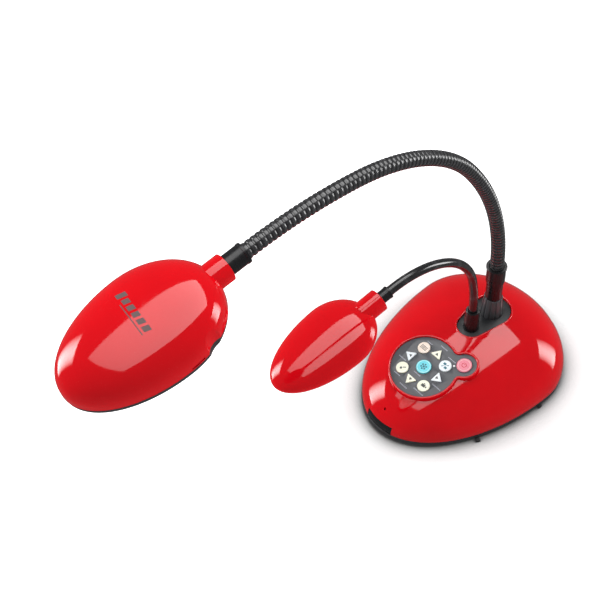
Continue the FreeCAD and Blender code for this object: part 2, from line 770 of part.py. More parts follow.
def build_panel():
    def draw_overlay(sketch):
        draw_panel("0")(sketch)
        draw_circle(sketch, "0", "0", "centre_key_radius + key_gap")
        draw_circle(sketch, *ring_spot("power_key_ring", 45), "power_key_radius + key_gap")
        draw_circle(sketch, *ring_spot("indicator_ring", 45), "indicator_radius + fit_gap")
        for angle in ROUND_KEYS.values():
            draw_circle(sketch, *ring_spot("round_key_ring", angle), "round_key_radius + key_gap")
        for angle in ARROW_KEYS.values():
            draw_polygon(sketch, arrow_corners(angle, "key_gap"))

    node("panel_overlay", padded("panel_overlay", draw_overlay, "overlay_thickness",
                                 on_panel(-S.overlay_thickness)))

    key_low = S.key_rise - S.key_height
    keys = {"key_centre": ("centre_key_radius", "0", "0"),
            "key_power": ("power_key_radius", *ring_spot("power_key_ring", 45))}
    for label, angle in ROUND_KEYS.items():
        keys[label] = ("round_key_radius", *ring_spot("round_key_ring", angle))
    for label, (radius, x, y) in keys.items():
        def draw_key(sketch):
            draw_circle(sketch, x, y, radius)
        node(label, padded(label, draw_key, "key_height", on_panel(key_low)))
    for label, angle in ARROW_KEYS.items():
        def draw_arrow(sketch):
            draw_polygon(sketch, arrow_corners(angle))
        node(label, padded(label, draw_arrow, "key_height", on_panel(key_low)))
    doc.recompute()
    for label in ARROW_KEYS:
        round_edges(NODES[label], "triangle_corner", is_upright)
    for label in (*keys, *ARROW_KEYS):
        round_edges(NODES[label], "key_edge",
                    lambda edge: all(abs(v.Point.z - S.key_height) < 1e-6 for v in edge.Vertexes))

    node("indicator_light", primitive("Cylinder", on_panel(-S.overlay_thickness, S.indicator_ring * math.cos(
        math.pi / 4), S.indicator_ring * math.sin(math.pi / 4)), Radius="indicator_radius",
        Height="overlay_thickness + fit_gap"))

    # rubber mat with a low dome under each key, on the key board behind the panel's ledge
    def draw_mat(sketch):
        draw_panel("-ledge_width - overlay_gap")(sketch)

    sheet_low = -S.pod_depth
    mat = padded("mat_sheet", draw_mat, "mat_thickness", on_panel(sheet_low))
    spots = [(0, 0), (S.power_key_ring, 45)]
    spots += [(S.round_key_ring, angle) for angle in ROUND_KEYS.values()]
    spots += [(S.triangle_ring, angle) for angle in ARROW_KEYS.values()]
    dome_height = "pod_depth - mat_thickness - key_height + key_rise - key_travel - fit_gap"
    domes = []
    for ring, angle in spots:
        x, y = ring * math.cos(math.radians(angle)), ring * math.sin(math.radians(angle))
        domes.append(primitive("Cone", on_panel(sheet_low + S.mat_thickness, x, y), Radius1="mat_dome_radius",
                               Radius2="mat_dome_radius - mat_dome_slope", Height=dome_height))
    node("key_mat", fuse(mat, *domes))
    node("key_board", padded("key_board", draw_panel("-key_board_inset"), "board_thickness",
                             on_panel(sheet_low - S.board_thickness)))


# ---- necks ----

MAIN_ARCS = [(S.lower_arc_length, S.lower_arc_angle), (S.middle_arc_length, S.middle_arc_angle),
             (S.end_arc_length, S.end_arc_angle)]
LAMP_ARCS = [(S.lamp_first_arc_length, S.lamp_first_arc_angle),
             (S.lamp_second_arc_length, S.lamp_second_arc_angle)]
MAIN_RIM = S.plate_top_z + S.socket_height + S.sleeve_height + S.neck_gap / 2
LAMP_RIM = S.plate_top_z + S.lamp_sleeve_height + S.neck_gap / 2
MAIN_PATH = NeckPath(Vector(0, S.main_root_y, MAIN_RIM), S.main_turn, MAIN_ARCS)
LAMP_PATH = NeckPath(Vector(0, S.lamp_root_y, LAMP_RIM), S.lamp_turn, LAMP_ARCS)


def build_neck(name, path, radius, bore, links_per_arc):
    """Tube links with a gap at each hinge; the last one runs up to the ferrule."""
    done, number = 0.0, 0
    total = sum(links_per_arc)
    for (length, angle), count in zip(path.arcs, links_per_arc):
        for i in range(count):
            number += 1
            start = done + S.neck_gap / 2
            done += length / count
            end = done if number == total else done - S.neck_gap / 2
            neck_link(f"{name}_link_{number}", path, start, end, radius, bore, (length, angle))


def build_necks():
    plate_low = S.plate_top_z - S.plate_thickness

    def draw_holed_plate(sketch):
        draw_plate("0")(sketch)
        draw_circle(sketch, "0", "main_root_y", "spigot_radius + fit_gap")
        draw_circle(sketch, "0", "lamp_root_y", "lamp_spigot_radius + fit_gap")

    node("neck_plate", padded("neck_plate", draw_holed_plate, "plate_thickness", at(0, 0, plate_low)))

    root = at(0, S.main_root_y, S.plate_top_z)
    cone = turned("socket_cone", [("cable_bore", "-spigot_length"), ("spigot_radius", "-spigot_length"),
                                  ("spigot_radius", "0"), ("socket_foot_radius", "0"),
                                  ("socket_top_radius", "socket_height"),
                                  ("cable_bore", "socket_height")], root)
    lean = math.degrees(math.atan2(S.socket_foot_radius - S.socket_top_radius, S.socket_height))
    flutes = []
    flute_count = round(S.flute_count)
    for i in range(flute_count):
        around = Placement(root.Base, Rotation(UP, 360 / flute_count * i))
        lean_in = Rotation(Vector(0, 1, 0), -lean)
        spot = Placement(Vector(S.socket_foot_radius + S.flute_radius / 3, 0, 0), lean_in)
        flutes.append(primitive("Cylinder", around.multiply(spot), Radius="flute_radius",
                                Height="socket_height * 1.1"))
    node("main_neck_socket", cut(cone, *flutes))
    top = "sleeve_height"
    node("main_neck_sleeve", turned("main_neck_sleeve", [
        ("cable_bore", "0"), ("sleeve_waist_radius", "0"), ("sleeve_waist_radius", "sleeve_waist_height"),
        ("sleeve_radius", "sleeve_waist_height + sleeve_shoulder"),
        ("sleeve_radius", f"{top} - sleeve_flange_height"),
        ("sleeve_flange_radius", f"{top} - sleeve_flange_height"), ("sleeve_flange_radius", top),
        ("main_neck_radius + sleeve_clearance", top),
        ("main_neck_radius + sleeve_clearance", f"{top} - sleeve_bore_depth"),
        ("cable_bore", f"{top} - sleeve_bore_depth")], at(0, S.main_root_y, S.plate_top_z + S.socket_height)))
    lamp_top = "lamp_sleeve_height"
    node("lamp_neck_sleeve", turned("lamp_neck_sleeve", [
        ("lamp_cable_bore", "-spigot_length"), ("lamp_spigot_radius", "-spigot_length"),
        ("lamp_spigot_radius", "0"), ("lamp_sleeve_foot_radius", "0"), ("lamp_sleeve_top_radius", lamp_top),
        ("lamp_neck_radius + sleeve_clearance", lamp_top),
        ("lamp_neck_radius + sleeve_clearance", f"{lamp_top} - lamp_sleeve_bore_depth"),
        ("lamp_cable_bore", f"{lamp_top} - lamp_sleeve_bore_depth")], at(0, S.lamp_root_y, S.plate_top_z)))
    nuts = []
    for y, flats, spigot in ((S.main_root_y, "main_nut_flats", "spigot_radius"),
                             (S.lamp_root_y, "lamp_nut_flats", "lamp_spigot_radius")):
        low = at(0, y, plate_low - S.nut_height)
        hexagon = primitive("Prism", low, Circumradius=f"{flats} / 2 / cos(30)", Height="nut_height")
        thread = primitive("Cylinder", low, Radius=f"{spigot} + fit_gap", Height="nut_height")
        nuts.append(cut(hexagon, thread))
    node("neck_nuts", group(*nuts))

    build_neck("main_neck", MAIN_PATH, "main_neck_radius", "main_neck_bore", (3, 3, 3))
    build_neck("lamp_neck", LAMP_PATH, "lamp_neck_radius", "lamp_neck_bore", (1, 4))
    for label, path, kind in (("main_ferrule", MAIN_PATH, ""), ("lamp_ferrule", LAMP_PATH, "lamp_")):
        radius, length, bore = (f"{kind}ferrule_radius", f"{kind}ferrule_length", f"{kind}ferrule_bore")
        pivot = f"{kind}pivot_radius"
        end = f"{length} + {kind}pivot_length"
        node(label, turned(label, [(bore, "0"), (radius, "0"), (radius, length), (pivot, length),
                                   (pivot, end), (bore, end)], path.place(path.length())))


# ---- heads ----


def head_frame(path, ferrule, collar, rear, drop):
    """Frame at a head's widest section: +Y points back along the neck, +Z out of the head's top."""
    ahead = ferrule + S.pivot_clearance + collar + rear
    turn = Rotation(Vector(1, 0, 0), Vector(0, 0, -1), Vector(0, 1, 0), "XYZ")
    return path.place(path.length()).multiply(Placement(Vector(0, -drop, ahead), turn))


def bar_along_y(radius, y, z, length):
    lying = Placement(Vector(0, y, z), Rotation(ACROSS, -90))
    return primitive("Cylinder", lying, Radius=radius, Height=length)


def build_camera_head():
    frame = head_frame(MAIN_PATH, S.ferrule_length, S.collar_length, S.head_rear, S.head_drop)
    low = -S.head_split - S.head_bottom_depth
    floor = low + S.head_wall

    def egg(inset, below):
        dome = egg_dome(f"head_half_width - {inset}", f"head_front - {inset}", f"head_rear - {inset}",
                        f"head_top - {inset}")
        skirt = egg_prism(f"head_half_width - {inset}", f"head_front - {inset}", f"head_rear - {inset}",
                          -S.head_split - below, f"head_split + {below}")
        return fuse(dome, skirt)

    def scallop(extra):
        return primitive("Cylinder", at(S.scallop_x, S.scallop_y, -S.tool_reach),
                         Radius=f"scallop_radius + {extra}", Height="3 * tool_reach")

    spots = [(side * S.head_screw_x, y) for side in (-1, 1)
             for y in (S.head_front_screw_y, S.head_rear_screw_y)]
    full = egg("0", 0.0)
    collar = bar_along_y("collar_radius", S.head_rear - S.collar_seat, S.head_drop,
                         "collar_length + collar_seat")
    bosses = fuse(*pegs(spots, -S.head_split - 1, "head_boss_radius", "head_top"))
    hollow = cut(egg("head_wall", 1.0), scallop("head_wall"), bosses)
    bore = bar_along_y("pivot_radius + pivot_clearance", S.head_rear - S.collar_seat - S.head_wall,
                       S.head_drop, "collar_length + collar_seat + tool_reach")
    slot = primitive("Box", at(S.head_half_width * 0.7, S.slot_y - S.slot_length / 2, -S.head_split + 1),
                     Length="head_half_width", Width="slot_length", Height="slot_height")
    holes = pegs(spots, low, "board_screw_radius + fit_gap", "head_bottom_depth + head_screw_depth")
    node("head_shell", cut(cut(cut(fuse(full, collar), scallop("0")), hollow), bore, slot, *holes), frame)

    outline = ("head_half_width", "head_front", "head_rear")
    outer = egg_prism(*[f"{side} - head_bottom_inset" for side in outline], low, "head_bottom_depth")
    inner = egg_prism(*[f"{side} - head_bottom_inset - head_wall" for side in outline], floor, "tool_reach")
    doc.recompute()
    edges = [i for i, edge in enumerate(outer.Shape.Edges, start=1)
             if all(abs(v.Point.z - low) < 1e-6 for v in edge.Vertexes) and edge.Length > S.head_rear]
    softened = doc.addObject("Part::Fillet", "Fillet")
    softened.Base = outer
    softened.Edges = [(i, S.head_edge, S.head_edge) for i in edges]
    posts = fuse(*pegs(spots, low, "head_boss_radius", "head_bottom_depth"))
    lens_hole = primitive("Cylinder", at(0, S.lens_y, low), Radius="barrel_radius + fit_gap",
                          Height="tool_reach")
    collar_gap = bar_along_y("collar_radius + fit_gap", S.head_rear - S.collar_seat - S.fit_gap, S.head_drop,
                             "tool_reach")
    heads = pegs(spots, low, "board_screw_head + fit_gap", "small_head_height + fit_gap")
    shell = fuse(cut(softened, cut(inner, scallop("head_wall"))), posts)
    node("head_bottom", cut(shell, scallop("0"), lens_hole, collar_gap, *heads, *pegs(
        spots, low, "board_screw_radius + fit_gap", "tool_reach")), frame)
    screws("head_screws", [(x, y, low) for x, y in spots], "board_screw_radius",
           "head_bottom_depth + head_screw_grip", "board_screw_head", "small_head_height", place=frame)

    # lens barrel, glass, sensor and board, measured from the barrel's lower rim
    flange_low = "barrel_drop + head_wall"
    lens_at = at(0, S.lens_y, low - S.barrel_drop)
    node("lens_barrel", turned("lens_barrel", [
        ("lens_radius - lens_seat", "0"), ("barrel_radius", "0"), ("barrel_radius", flange_low),
        ("barrel_flange_radius", flange_low),
        ("barrel_flange_radius", f"{flange_low} + barrel_flange_height"),
        ("barrel_radius", f"{flange_low} + barrel_flange_height"), ("barrel_radius", "barrel_height"),
        ("lens_radius + fit_gap", "barrel_height"), ("lens_radius + fit_gap", "lens_recess"),
        ("lens_radius - lens_seat", "lens_recess")]), frame.multiply(lens_at))
    glass = primitive("Cylinder", at(0, 0, S.lens_recess), Radius="lens_radius", Height="lens_thickness")
    node("lens_glass", glass, frame.multiply(lens_at).multiply(at(0, 0, S.lens_recess)))
    board = primitive("Box", None, Length="camera_board_size", Width="camera_board_size",
                      Height="board_thickness")
    corner = -S.camera_board_size / 2
    node("camera_board", board, frame.multiply(lens_at).multiply(at(corner, corner, S.barrel_height)))
    sensor = primitive("Box", None, Length="sensor_size", Width="sensor_size", Height="sensor_height")
    corner = -S.sensor_size / 2
    node("image_sensor", sensor, frame.multiply(lens_at).multiply(at(corner, corner, S.barrel_height
                                                                     - S.sensor_height)))


def build_lamp_head():
    frame = head_frame(LAMP_PATH, S.lamp_ferrule_length, S.lamp_collar_length, S.lamp_rear, S.lamp_drop)

    def egg(inset):
        plan = (f"lamp_half_width - {inset}", f"lamp_front - {inset}", f"lamp_rear - {inset}")
        return egg_dome(*plan, f"lamp_top - {inset}", low="-90")

    full = egg("0")
    below = primitive("Box", at(-S.lamp_front, -2 * S.lamp_front, -S.lamp_cut - S.tool_reach),
                      Length="2 * lamp_front", Width="4 * lamp_front", Height="tool_reach")
    collar = bar_along_y("lamp_collar_radius", S.lamp_rear - S.collar_seat, S.lamp_drop,
                         "lamp_collar_length + collar_seat")
    bore = bar_along_y("lamp_pivot_radius + pivot_clearance", S.lamp_rear - S.collar_seat - S.lamp_wall,
                       S.lamp_drop, "lamp_collar_length + collar_seat + tool_reach")
    node("lamp_shell", cut(cut(fuse(full, collar), egg("lamp_wall")), below, bore), frame)

    share = "sqrt(1 - (lamp_cut / (lamp_top - lamp_wall))^2)"
    plan = [f"(({side} - lamp_wall) * {share} - diffuser_gap)" for side in ("lamp_half_width", "lamp_front",
                                                                         "lamp_rear")]
    node("lamp_diffuser", egg_prism(*plan, -S.lamp_cut, "diffuser_thickness"), frame)
    node("led_board", egg_prism(*plan, S.led_board_z, "board_thickness"), frame)
    lights = []
    for x in (-0.65 * S.led_pitch, 0.65 * S.led_pitch):
        for i in range(4):
            corner = at(x - S.led_size / 2, (i - 2.2) * S.led_pitch, S.led_board_z - S.led_height)
            lights.append(primitive("Box", corner, Length="led_size", Width="led_size", Height="led_height"))
    node("leds", group(*lights), frame)


build_base()
build_panel()
build_necks()
build_camera_head()
build_lamp_head()
doc.recompute()

for item in doc.Objects:
    if "Invalid" in item.State or "Error" in item.State:
        raise RuntimeError(f"{item.Label} did not build: {item.State}")
os.makedirs("parts", exist_ok=True)
for label, item in NODES.items():
    shape = item.Shape
    if shape.isNull() or not shape.isValid() or not shape.Solids:
        raise RuntimeError(f"{label} has no valid shape")
    shape.exportStep(f"parts/{label}.step")
    print(label, len(shape.Solids), round(shape.Volume / 1000, 2))
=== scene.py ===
import json
import math

import bpy
from mathutils import Matrix, Vector

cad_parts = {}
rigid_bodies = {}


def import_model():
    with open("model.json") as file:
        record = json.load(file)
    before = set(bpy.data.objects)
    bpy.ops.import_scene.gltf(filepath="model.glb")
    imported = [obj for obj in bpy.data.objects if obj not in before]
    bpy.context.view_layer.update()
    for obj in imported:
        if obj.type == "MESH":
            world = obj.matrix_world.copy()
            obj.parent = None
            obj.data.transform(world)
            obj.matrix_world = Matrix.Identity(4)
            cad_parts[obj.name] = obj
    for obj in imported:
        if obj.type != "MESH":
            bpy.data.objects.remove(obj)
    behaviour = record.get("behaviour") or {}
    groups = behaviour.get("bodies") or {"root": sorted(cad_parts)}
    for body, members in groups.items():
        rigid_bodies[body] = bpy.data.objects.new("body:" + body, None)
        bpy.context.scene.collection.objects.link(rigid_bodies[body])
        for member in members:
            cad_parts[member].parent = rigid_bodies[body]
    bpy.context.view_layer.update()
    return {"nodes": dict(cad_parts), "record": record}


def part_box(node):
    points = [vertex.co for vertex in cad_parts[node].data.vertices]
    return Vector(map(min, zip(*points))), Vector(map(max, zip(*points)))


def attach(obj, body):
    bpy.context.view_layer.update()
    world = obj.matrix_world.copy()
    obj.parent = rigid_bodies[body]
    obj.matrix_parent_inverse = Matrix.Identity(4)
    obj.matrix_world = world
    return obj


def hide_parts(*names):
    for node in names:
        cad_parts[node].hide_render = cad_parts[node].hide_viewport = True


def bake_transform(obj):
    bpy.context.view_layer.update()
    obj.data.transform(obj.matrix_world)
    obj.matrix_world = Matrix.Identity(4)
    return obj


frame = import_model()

# The looks of the video magnifier: smooth gloss shells, a wound gooseneck, keys with their marks, and the
# materials of every piece. +X is the user's right, the heads hang towards -Y, +Z is up. Metres.

MM = 0.001
MERGE = 1e-6  # points nearer than this are one point
FINE = {"segments": 224, "rings": 128}  # an egg's outer face
COARSE = {"segments": 96, "rings": 48}  # its hollow
JOINTS = {joint["name"]: joint for joint in frame["record"]["behaviour"]["joints"]}


def turned_about(axis, degrees):
    return Matrix.Rotation(math.radians(degrees), 4, axis)


# ---- frames of the panel and of the two heads, read from the joints and the boxes of the CAD nodes ----


def panel_frame():
    """Frame on the panel's face: the keys' boxes give its middle and their travel gives its normal."""
    low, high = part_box("key_centre")
    normal = -Vector(JOINTS["key_centre_press"]["axis"]).normalized()
    tilt = math.atan2(-normal.y, normal.z)
    key_middle_depth = 1.55 * MM
    middle = (low + high) / 2 + normal * key_middle_depth
    return Matrix.Translation(middle) @ Matrix.Rotation(tilt, 4, "X")


def neck_end_frame(joint, back=0.0):
    """Frame at a swivel: Z runs along the neck, X to the user's right, Y to the outside of the bend."""
    ahead = Vector(JOINTS[joint]["axis"]).normalized()
    across = Vector((-ahead.y, ahead.x, 0)).normalized()
    outward = ahead.cross(across)
    turn = Matrix((across, outward, ahead)).transposed().to_4x4()
    return Matrix.Translation(Vector(JOINTS[joint]["pos_m"]) - ahead * back) @ turn


def head_frame(joint, ahead, drop):
    """Frame at a head's widest section: +Y points back to the neck, +Z out of the head's top."""
    turn = turned_about("X", -90)
    return neck_end_frame(joint) @ Matrix.Translation((0, -drop, ahead)) @ turn


PIVOT_GAP = 0.3 * MM
PANEL = panel_frame()
HEAD_REAR, HEAD_COLLAR, HEAD_DROP = 61.5 * MM, 11.2 * MM, 4.5 * MM
LAMP_REAR, LAMP_COLLAR, LAMP_DROP = 37.6 * MM, 13.0 * MM, 1.5 * MM
HEAD = head_frame("head_swivel", PIVOT_GAP + HEAD_COLLAR + HEAD_REAR, HEAD_DROP)
LAMP = head_frame("lamp_swivel", PIVOT_GAP + LAMP_COLLAR + LAMP_REAR, LAMP_DROP)


# ---- modelling helpers ----


def only(piece):
    """Select one object and nothing else."""
    bpy.ops.object.select_all(action="DESELECT")
    piece.select_set(True)
    bpy.context.view_layer.objects.active = piece
    return piece


def fresh(name):
    """Name the primitive that was just added."""
    piece = bpy.context.object
    piece.name = piece.data.name = name
    return only(piece)


def edit(piece, kind="FACE"):
    only(piece)
    bpy.ops.object.mode_set(mode="EDIT")
    bpy.ops.mesh.select_mode(type=kind)
    bpy.ops.mesh.select_all(action="DESELECT")


def leave_edit():
    bpy.ops.object.mode_set(mode="OBJECT")


def choose(piece, kind, test):
    """In object mode, mark the elements that pass the test; then edit mode shows them selected."""
    only(piece)
    mesh = piece.data
    for group in (mesh.vertices, mesh.edges, mesh.polygons):
        group.foreach_set("select", [False] * len(group))
    for element in getattr(mesh, {"VERT": "vertices", "EDGE": "edges", "FACE": "polygons"}[kind]):
        element.select = test(element)
    bpy.context.tool_settings.mesh_select_mode = (kind == "VERT", kind == "EDGE", kind == "FACE")
    bpy.ops.object.mode_set(mode="EDIT")


def edge_at(piece, test):
    """A test for edges whose two ends both pass."""
    points = piece.data.vertices
    return lambda edge: all(test(points[i].co) for i in edge.vertices)


def modifier(piece, kind, **settings):
    only(piece)
    added = piece.modifiers.new(kind.title(), kind)
    for name, value in settings.items():
        setattr(added, name, value)
    bpy.ops.object.modifier_apply(modifier=added.name)
    return piece


def boolean(piece, tool, operation="DIFFERENCE"):
    modifier(piece, "BOOLEAN", object=tool, operation=operation, solver="EXACT")
    bpy.data.objects.remove(tool)
    return piece


def outward(piece):
    """Turn all faces outwards."""
    edit(piece)
    bpy.ops.mesh.select_all(action="SELECT")
    bpy.ops.mesh.normals_make_consistent(inside=False)
    leave_edit()
    return piece


def placed(piece, place):
    piece.matrix_world = place @ piece.matrix_world
    only(piece)
    bpy.ops.object.transform_apply(location=True, rotation=True, scale=True)
    return piece


def smooth(piece, degrees=35):
    only(piece)
    bpy.ops.object.shade_smooth_by_angle(angle=math.radians(degrees))
    return piece


def rounded(piece, width, segments=3, degrees=40):
    """Round every edge that is sharper than the angle."""
    return modifier(piece, "BEVEL", width=width, segments=segments, limit_method="ANGLE",
                    angle_limit=math.radians(degrees), harden_normals=False)


def round_rim(piece, height, width, segments=4):
    """Round the sharp edges that lie at one height."""
    edit(piece, "EDGE")
    bpy.ops.mesh.edges_select_sharp(sharpness=math.radians(40))
    leave_edit()
    sharp = {edge.index for edge in piece.data.edges if edge.select}
    at_height = edge_at(piece, lambda co: abs(co.z - height) < MERGE)
    choose(piece, "EDGE", lambda edge: edge.index in sharp and at_height(edge))
    bpy.ops.mesh.bevel(offset=width, segments=segments, affect="EDGES")
    leave_edit()
    return piece


def turned(name, stations, sides=96):
    """A turned piece: a disc is pulled up and scaled through stations of (radius, height)."""
    (radius, height), *rest = stations
    bpy.ops.object.select_all(action="DESELECT")
    bpy.ops.mesh.primitive_circle_add(vertices=sides, radius=radius, fill_type="NGON",
                                      location=(0, 0, height))
    piece = fresh(name)
    bpy.ops.object.transform_apply(location=True)
    bpy.ops.object.mode_set(mode="EDIT")
    bpy.ops.mesh.select_all(action="SELECT")
    for new_radius, new_height in rest:
        bpy.ops.mesh.extrude_region_move(TRANSFORM_OT_translate={"value": (0, 0, new_height - height)})
        if new_radius != radius:
            share = new_radius / radius
            bpy.ops.transform.resize(value=(share, share, 1), center_override=(0, 0, new_height))
        radius, height = new_radius, new_height
    leave_edit()
    return outward(piece)


def prism(name, outline, low, high):
    """An upright prism with the outline's corners."""
    bpy.ops.object.select_all(action="DESELECT")
    bpy.ops.mesh.primitive_circle_add(vertices=len(outline), radius=1, fill_type="NGON")
    piece = fresh(name)
    for vertex, (x, y) in zip(piece.data.vertices, outline):
        vertex.co = (x, y, low)
    edit(piece)
    bpy.ops.mesh.select_all(action="SELECT")
    bpy.ops.mesh.extrude_region_move(TRANSFORM_OT_translate={"value": (0, 0, high - low)})
    leave_edit()
    return outward(piece)


def block(name, low, high):
    """A box between two corners, as a start for cutting."""
    low, high = Vector(low), Vector(high)
    bpy.ops.object.select_all(action="DESELECT")
    bpy.ops.mesh.primitive_cube_add(size=1, location=(low + high) / 2)
    piece = fresh(name)
    piece.scale = high - low
    bpy.ops.object.transform_apply(location=True, scale=True)
    return piece


def arc(x, y, radius, start, end, steps):
    """Points on an arc; angles in degrees."""
    turns = [math.radians(start + (end - start) * i / steps) for i in range(steps + 1)]
    return [(x + radius * math.cos(turn), y + radius * math.sin(turn)) for turn in turns]


def circle(x, y, radius, steps=72):
    """Points once round a circle."""
    return arc(x, y, radius, 0, 360, steps)[:-1]


def polar(ring, angle):
    return ring * math.cos(math.radians(angle)), ring * math.sin(math.radians(angle))


def spun(points, degrees, x=0.0, y=0.0):
    """Points turned about the middle, then moved."""
    turn = math.radians(degrees)
    return [(x + u * math.cos(turn) - v * math.sin(turn), y + u * math.sin(turn) + v * math.cos(turn))
            for u, v in points]


def in_mm(pairs):
    return [(radius * MM, height * MM) for radius, height in pairs]


def egg(name, half_width, front, rear, top, y=0.0, z=0.0, skirt=0.0, bottom=None, crown=2.0,
        segments=160, rings=96):
    """An egg with two half lengths, cut flat at the bottom, or at its widest and carried down by a skirt.
    A crown above 2 makes the top flatter and the flanks steeper."""
    bpy.ops.object.select_all(action="DESELECT")
    bpy.ops.mesh.primitive_uv_sphere_add(segments=segments, ring_count=rings, radius=1)
    piece = fresh(name)
    for vertex in piece.data.vertices:
        across = math.hypot(vertex.co.x, vertex.co.y)
        vertex.co /= (across**crown + abs(vertex.co.z) ** crown) ** (1 / crown)
        vertex.co.x *= half_width
        vertex.co.y *= front if vertex.co.y < 0 else rear
        vertex.co.z *= top
    edit(piece)
    bpy.ops.mesh.select_all(action="SELECT")
    cut = bottom or 0.0
    bpy.ops.mesh.bisect(plane_co=(0, 0, cut), plane_no=(0, 0, 1), clear_inner=True, use_fill=True,
                        threshold=MERGE)
    leave_edit()
    if skirt:
        choose(piece, "FACE", lambda face: abs(face.center.z - cut) < MERGE)
        bpy.ops.mesh.extrude_region_move(TRANSFORM_OT_translate={"value": (0, 0, -skirt)})
        leave_edit()
    outward(piece)
    return placed(piece, Matrix.Translation((0, y, z)))


def joined(name, pieces):
    only(pieces[0])
    for piece in pieces[1:]:
        piece.select_set(True)
    if len(pieces) > 1:
        bpy.ops.object.join()
    pieces[0].name = pieces[0].data.name = name
    return pieces[0]


def copy_of(node, name):
    """A copy of a CAD node with its loose triangles merged, for pieces that only need softer edges."""
    piece = frame["nodes"][node].copy()
    piece.data = piece.data.copy()
    piece.parent = None
    piece.modifiers.clear()
    piece.name = piece.data.name = name
    for key in list(piece.keys()):
        del piece[key]
    bpy.context.scene.collection.objects.link(piece)
    edit(piece, "VERT")
    bpy.ops.mesh.select_all(action="SELECT")
    bpy.ops.mesh.remove_doubles(threshold=MERGE)
    bpy.ops.mesh.dissolve_limited(angle_limit=math.radians(0.5))
    leave_edit()
    return piece


def show(piece, material, slot, body, *nodes):
    """Give a finished piece its finish and its body, and hide the nodes that it stands for."""
    piece.data.materials.clear()
    piece.data.materials.append(material)
    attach(piece, body)
    if nodes:
        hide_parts(*nodes)
    return piece


# ---- node groups for effects that several materials share ----


def put(tree, kind, inputs=None, **settings):
    """Add a node; inputs are numbers, colours or sockets to link from."""
    added = tree.nodes.new(kind)
    for name, value in settings.items():
        setattr(added, name, value)
    for name, value in (inputs or {}).items():
        if isinstance(value, bpy.types.NodeSocket):
            tree.links.new(value, added.inputs[name])
        else:
            added.inputs[name].default_value = value
    return added


def new_group(name, takes, gives):
    """A shader group with named sockets: pairs of name and kind, Float, Vector or Color."""
    tree = bpy.data.node_groups.new(name, "ShaderNodeTree")
    for label, kind in takes:
        tree.interface.new_socket(label, in_out="INPUT", socket_type="NodeSocket" + kind)
    for label, kind in gives:
        tree.interface.new_socket(label, in_out="OUTPUT", socket_type="NodeSocket" + kind)
    return tree, tree.nodes.new("NodeGroupInput").outputs, tree.nodes.new("NodeGroupOutput")


def mixed(tree, share, first, second):
    """Mix two colours."""
    return put(tree, "ShaderNodeMix", {"Factor": share, 6: first, 7: second}, data_type="RGBA").outputs[2]


def between(tree, share, low, high):
    """A number between two others."""
    return put(tree, "ShaderNodeMix", {"Factor": share, "A": low, "B": high}).outputs["Result"]


def ramp(tree, value, low, high, out_low=0.0, out_high=1.0):
    """Stretch a value from one range to another."""
    limits = {"From Min": low, "From Max": high, "To Min": out_low, "To Max": out_high}
    return put(tree, "ShaderNodeMapRange", {"Value": value, **limits}).outputs["Result"]


def noise(tree, place, scale, detail):
    return put(tree, "ShaderNodeTexNoise", {"Vector": place, "Scale": scale, "Detail": detail}).outputs["Fac"]


def arithmetic(tree, operation, *values):
    return put(tree, "ShaderNodeMath", dict(enumerate(values)), operation=operation).outputs[0]


def dimmed(tree, colour, share):
    """A colour times a share that changes over the surface."""
    return put(tree, "ShaderNodeVectorMath", {0: colour, "Scale": share}, operation="SCALE").outputs["Vector"]


def bumped(tree, height, depth):
    """The normal of a surface whose height changes by the depth."""
    bump = put(tree, "ShaderNodeBump", {"Height": height, "Strength": 1.0, "Distance": depth})
    return bump.outputs["Normal"]


def build_moulded_group():
    """Moulded plastic: faint flow shade, fine grain, handling marks that change the roughness, and dust."""
    tree, takes, out = new_group("moulded_surface", [
        ("Place", "Vector"), ("Colour", "Color"), ("Grain Size", "Float"), ("Grain Depth", "Float"),
        ("Smooth", "Float"), ("Rough", "Float"), ("Dust", "Float")],
        [("Colour", "Color"), ("Roughness", "Float"), ("Normal", "Vector")])
    place, dust_colour = takes["Place"], (0.55, 0.53, 0.5, 1)
    shade = ramp(tree, noise(tree, place, 18.0, 3.0), 0.3, 0.7, 0.93, 1.05)
    speck = ramp(tree, noise(tree, place, 900.0, 2.0), 0.66, 0.74)
    dusty = arithmetic(tree, "MULTIPLY", speck, takes["Dust"])
    colour = mixed(tree, dusty, dimmed(tree, takes["Colour"], shade), dust_colour)
    tree.links.new(colour, out.inputs["Colour"])
    stretched = put(tree, "ShaderNodeMapping", {"Vector": place, "Rotation": (0.3, 0.5, 0.9),
                                                "Scale": (1.0, 14.0, 1.0)})
    wear = ramp(tree, noise(tree, stretched.outputs["Vector"], 60.0, 6.0), 0.42, 0.68)
    tree.links.new(between(tree, wear, takes["Smooth"], takes["Rough"]), out.inputs["Roughness"])
    grain = noise(tree, place, takes["Grain Size"], 2.0)
    tree.links.new(bumped(tree, grain, takes["Grain Depth"]), out.inputs["Normal"])
    return tree


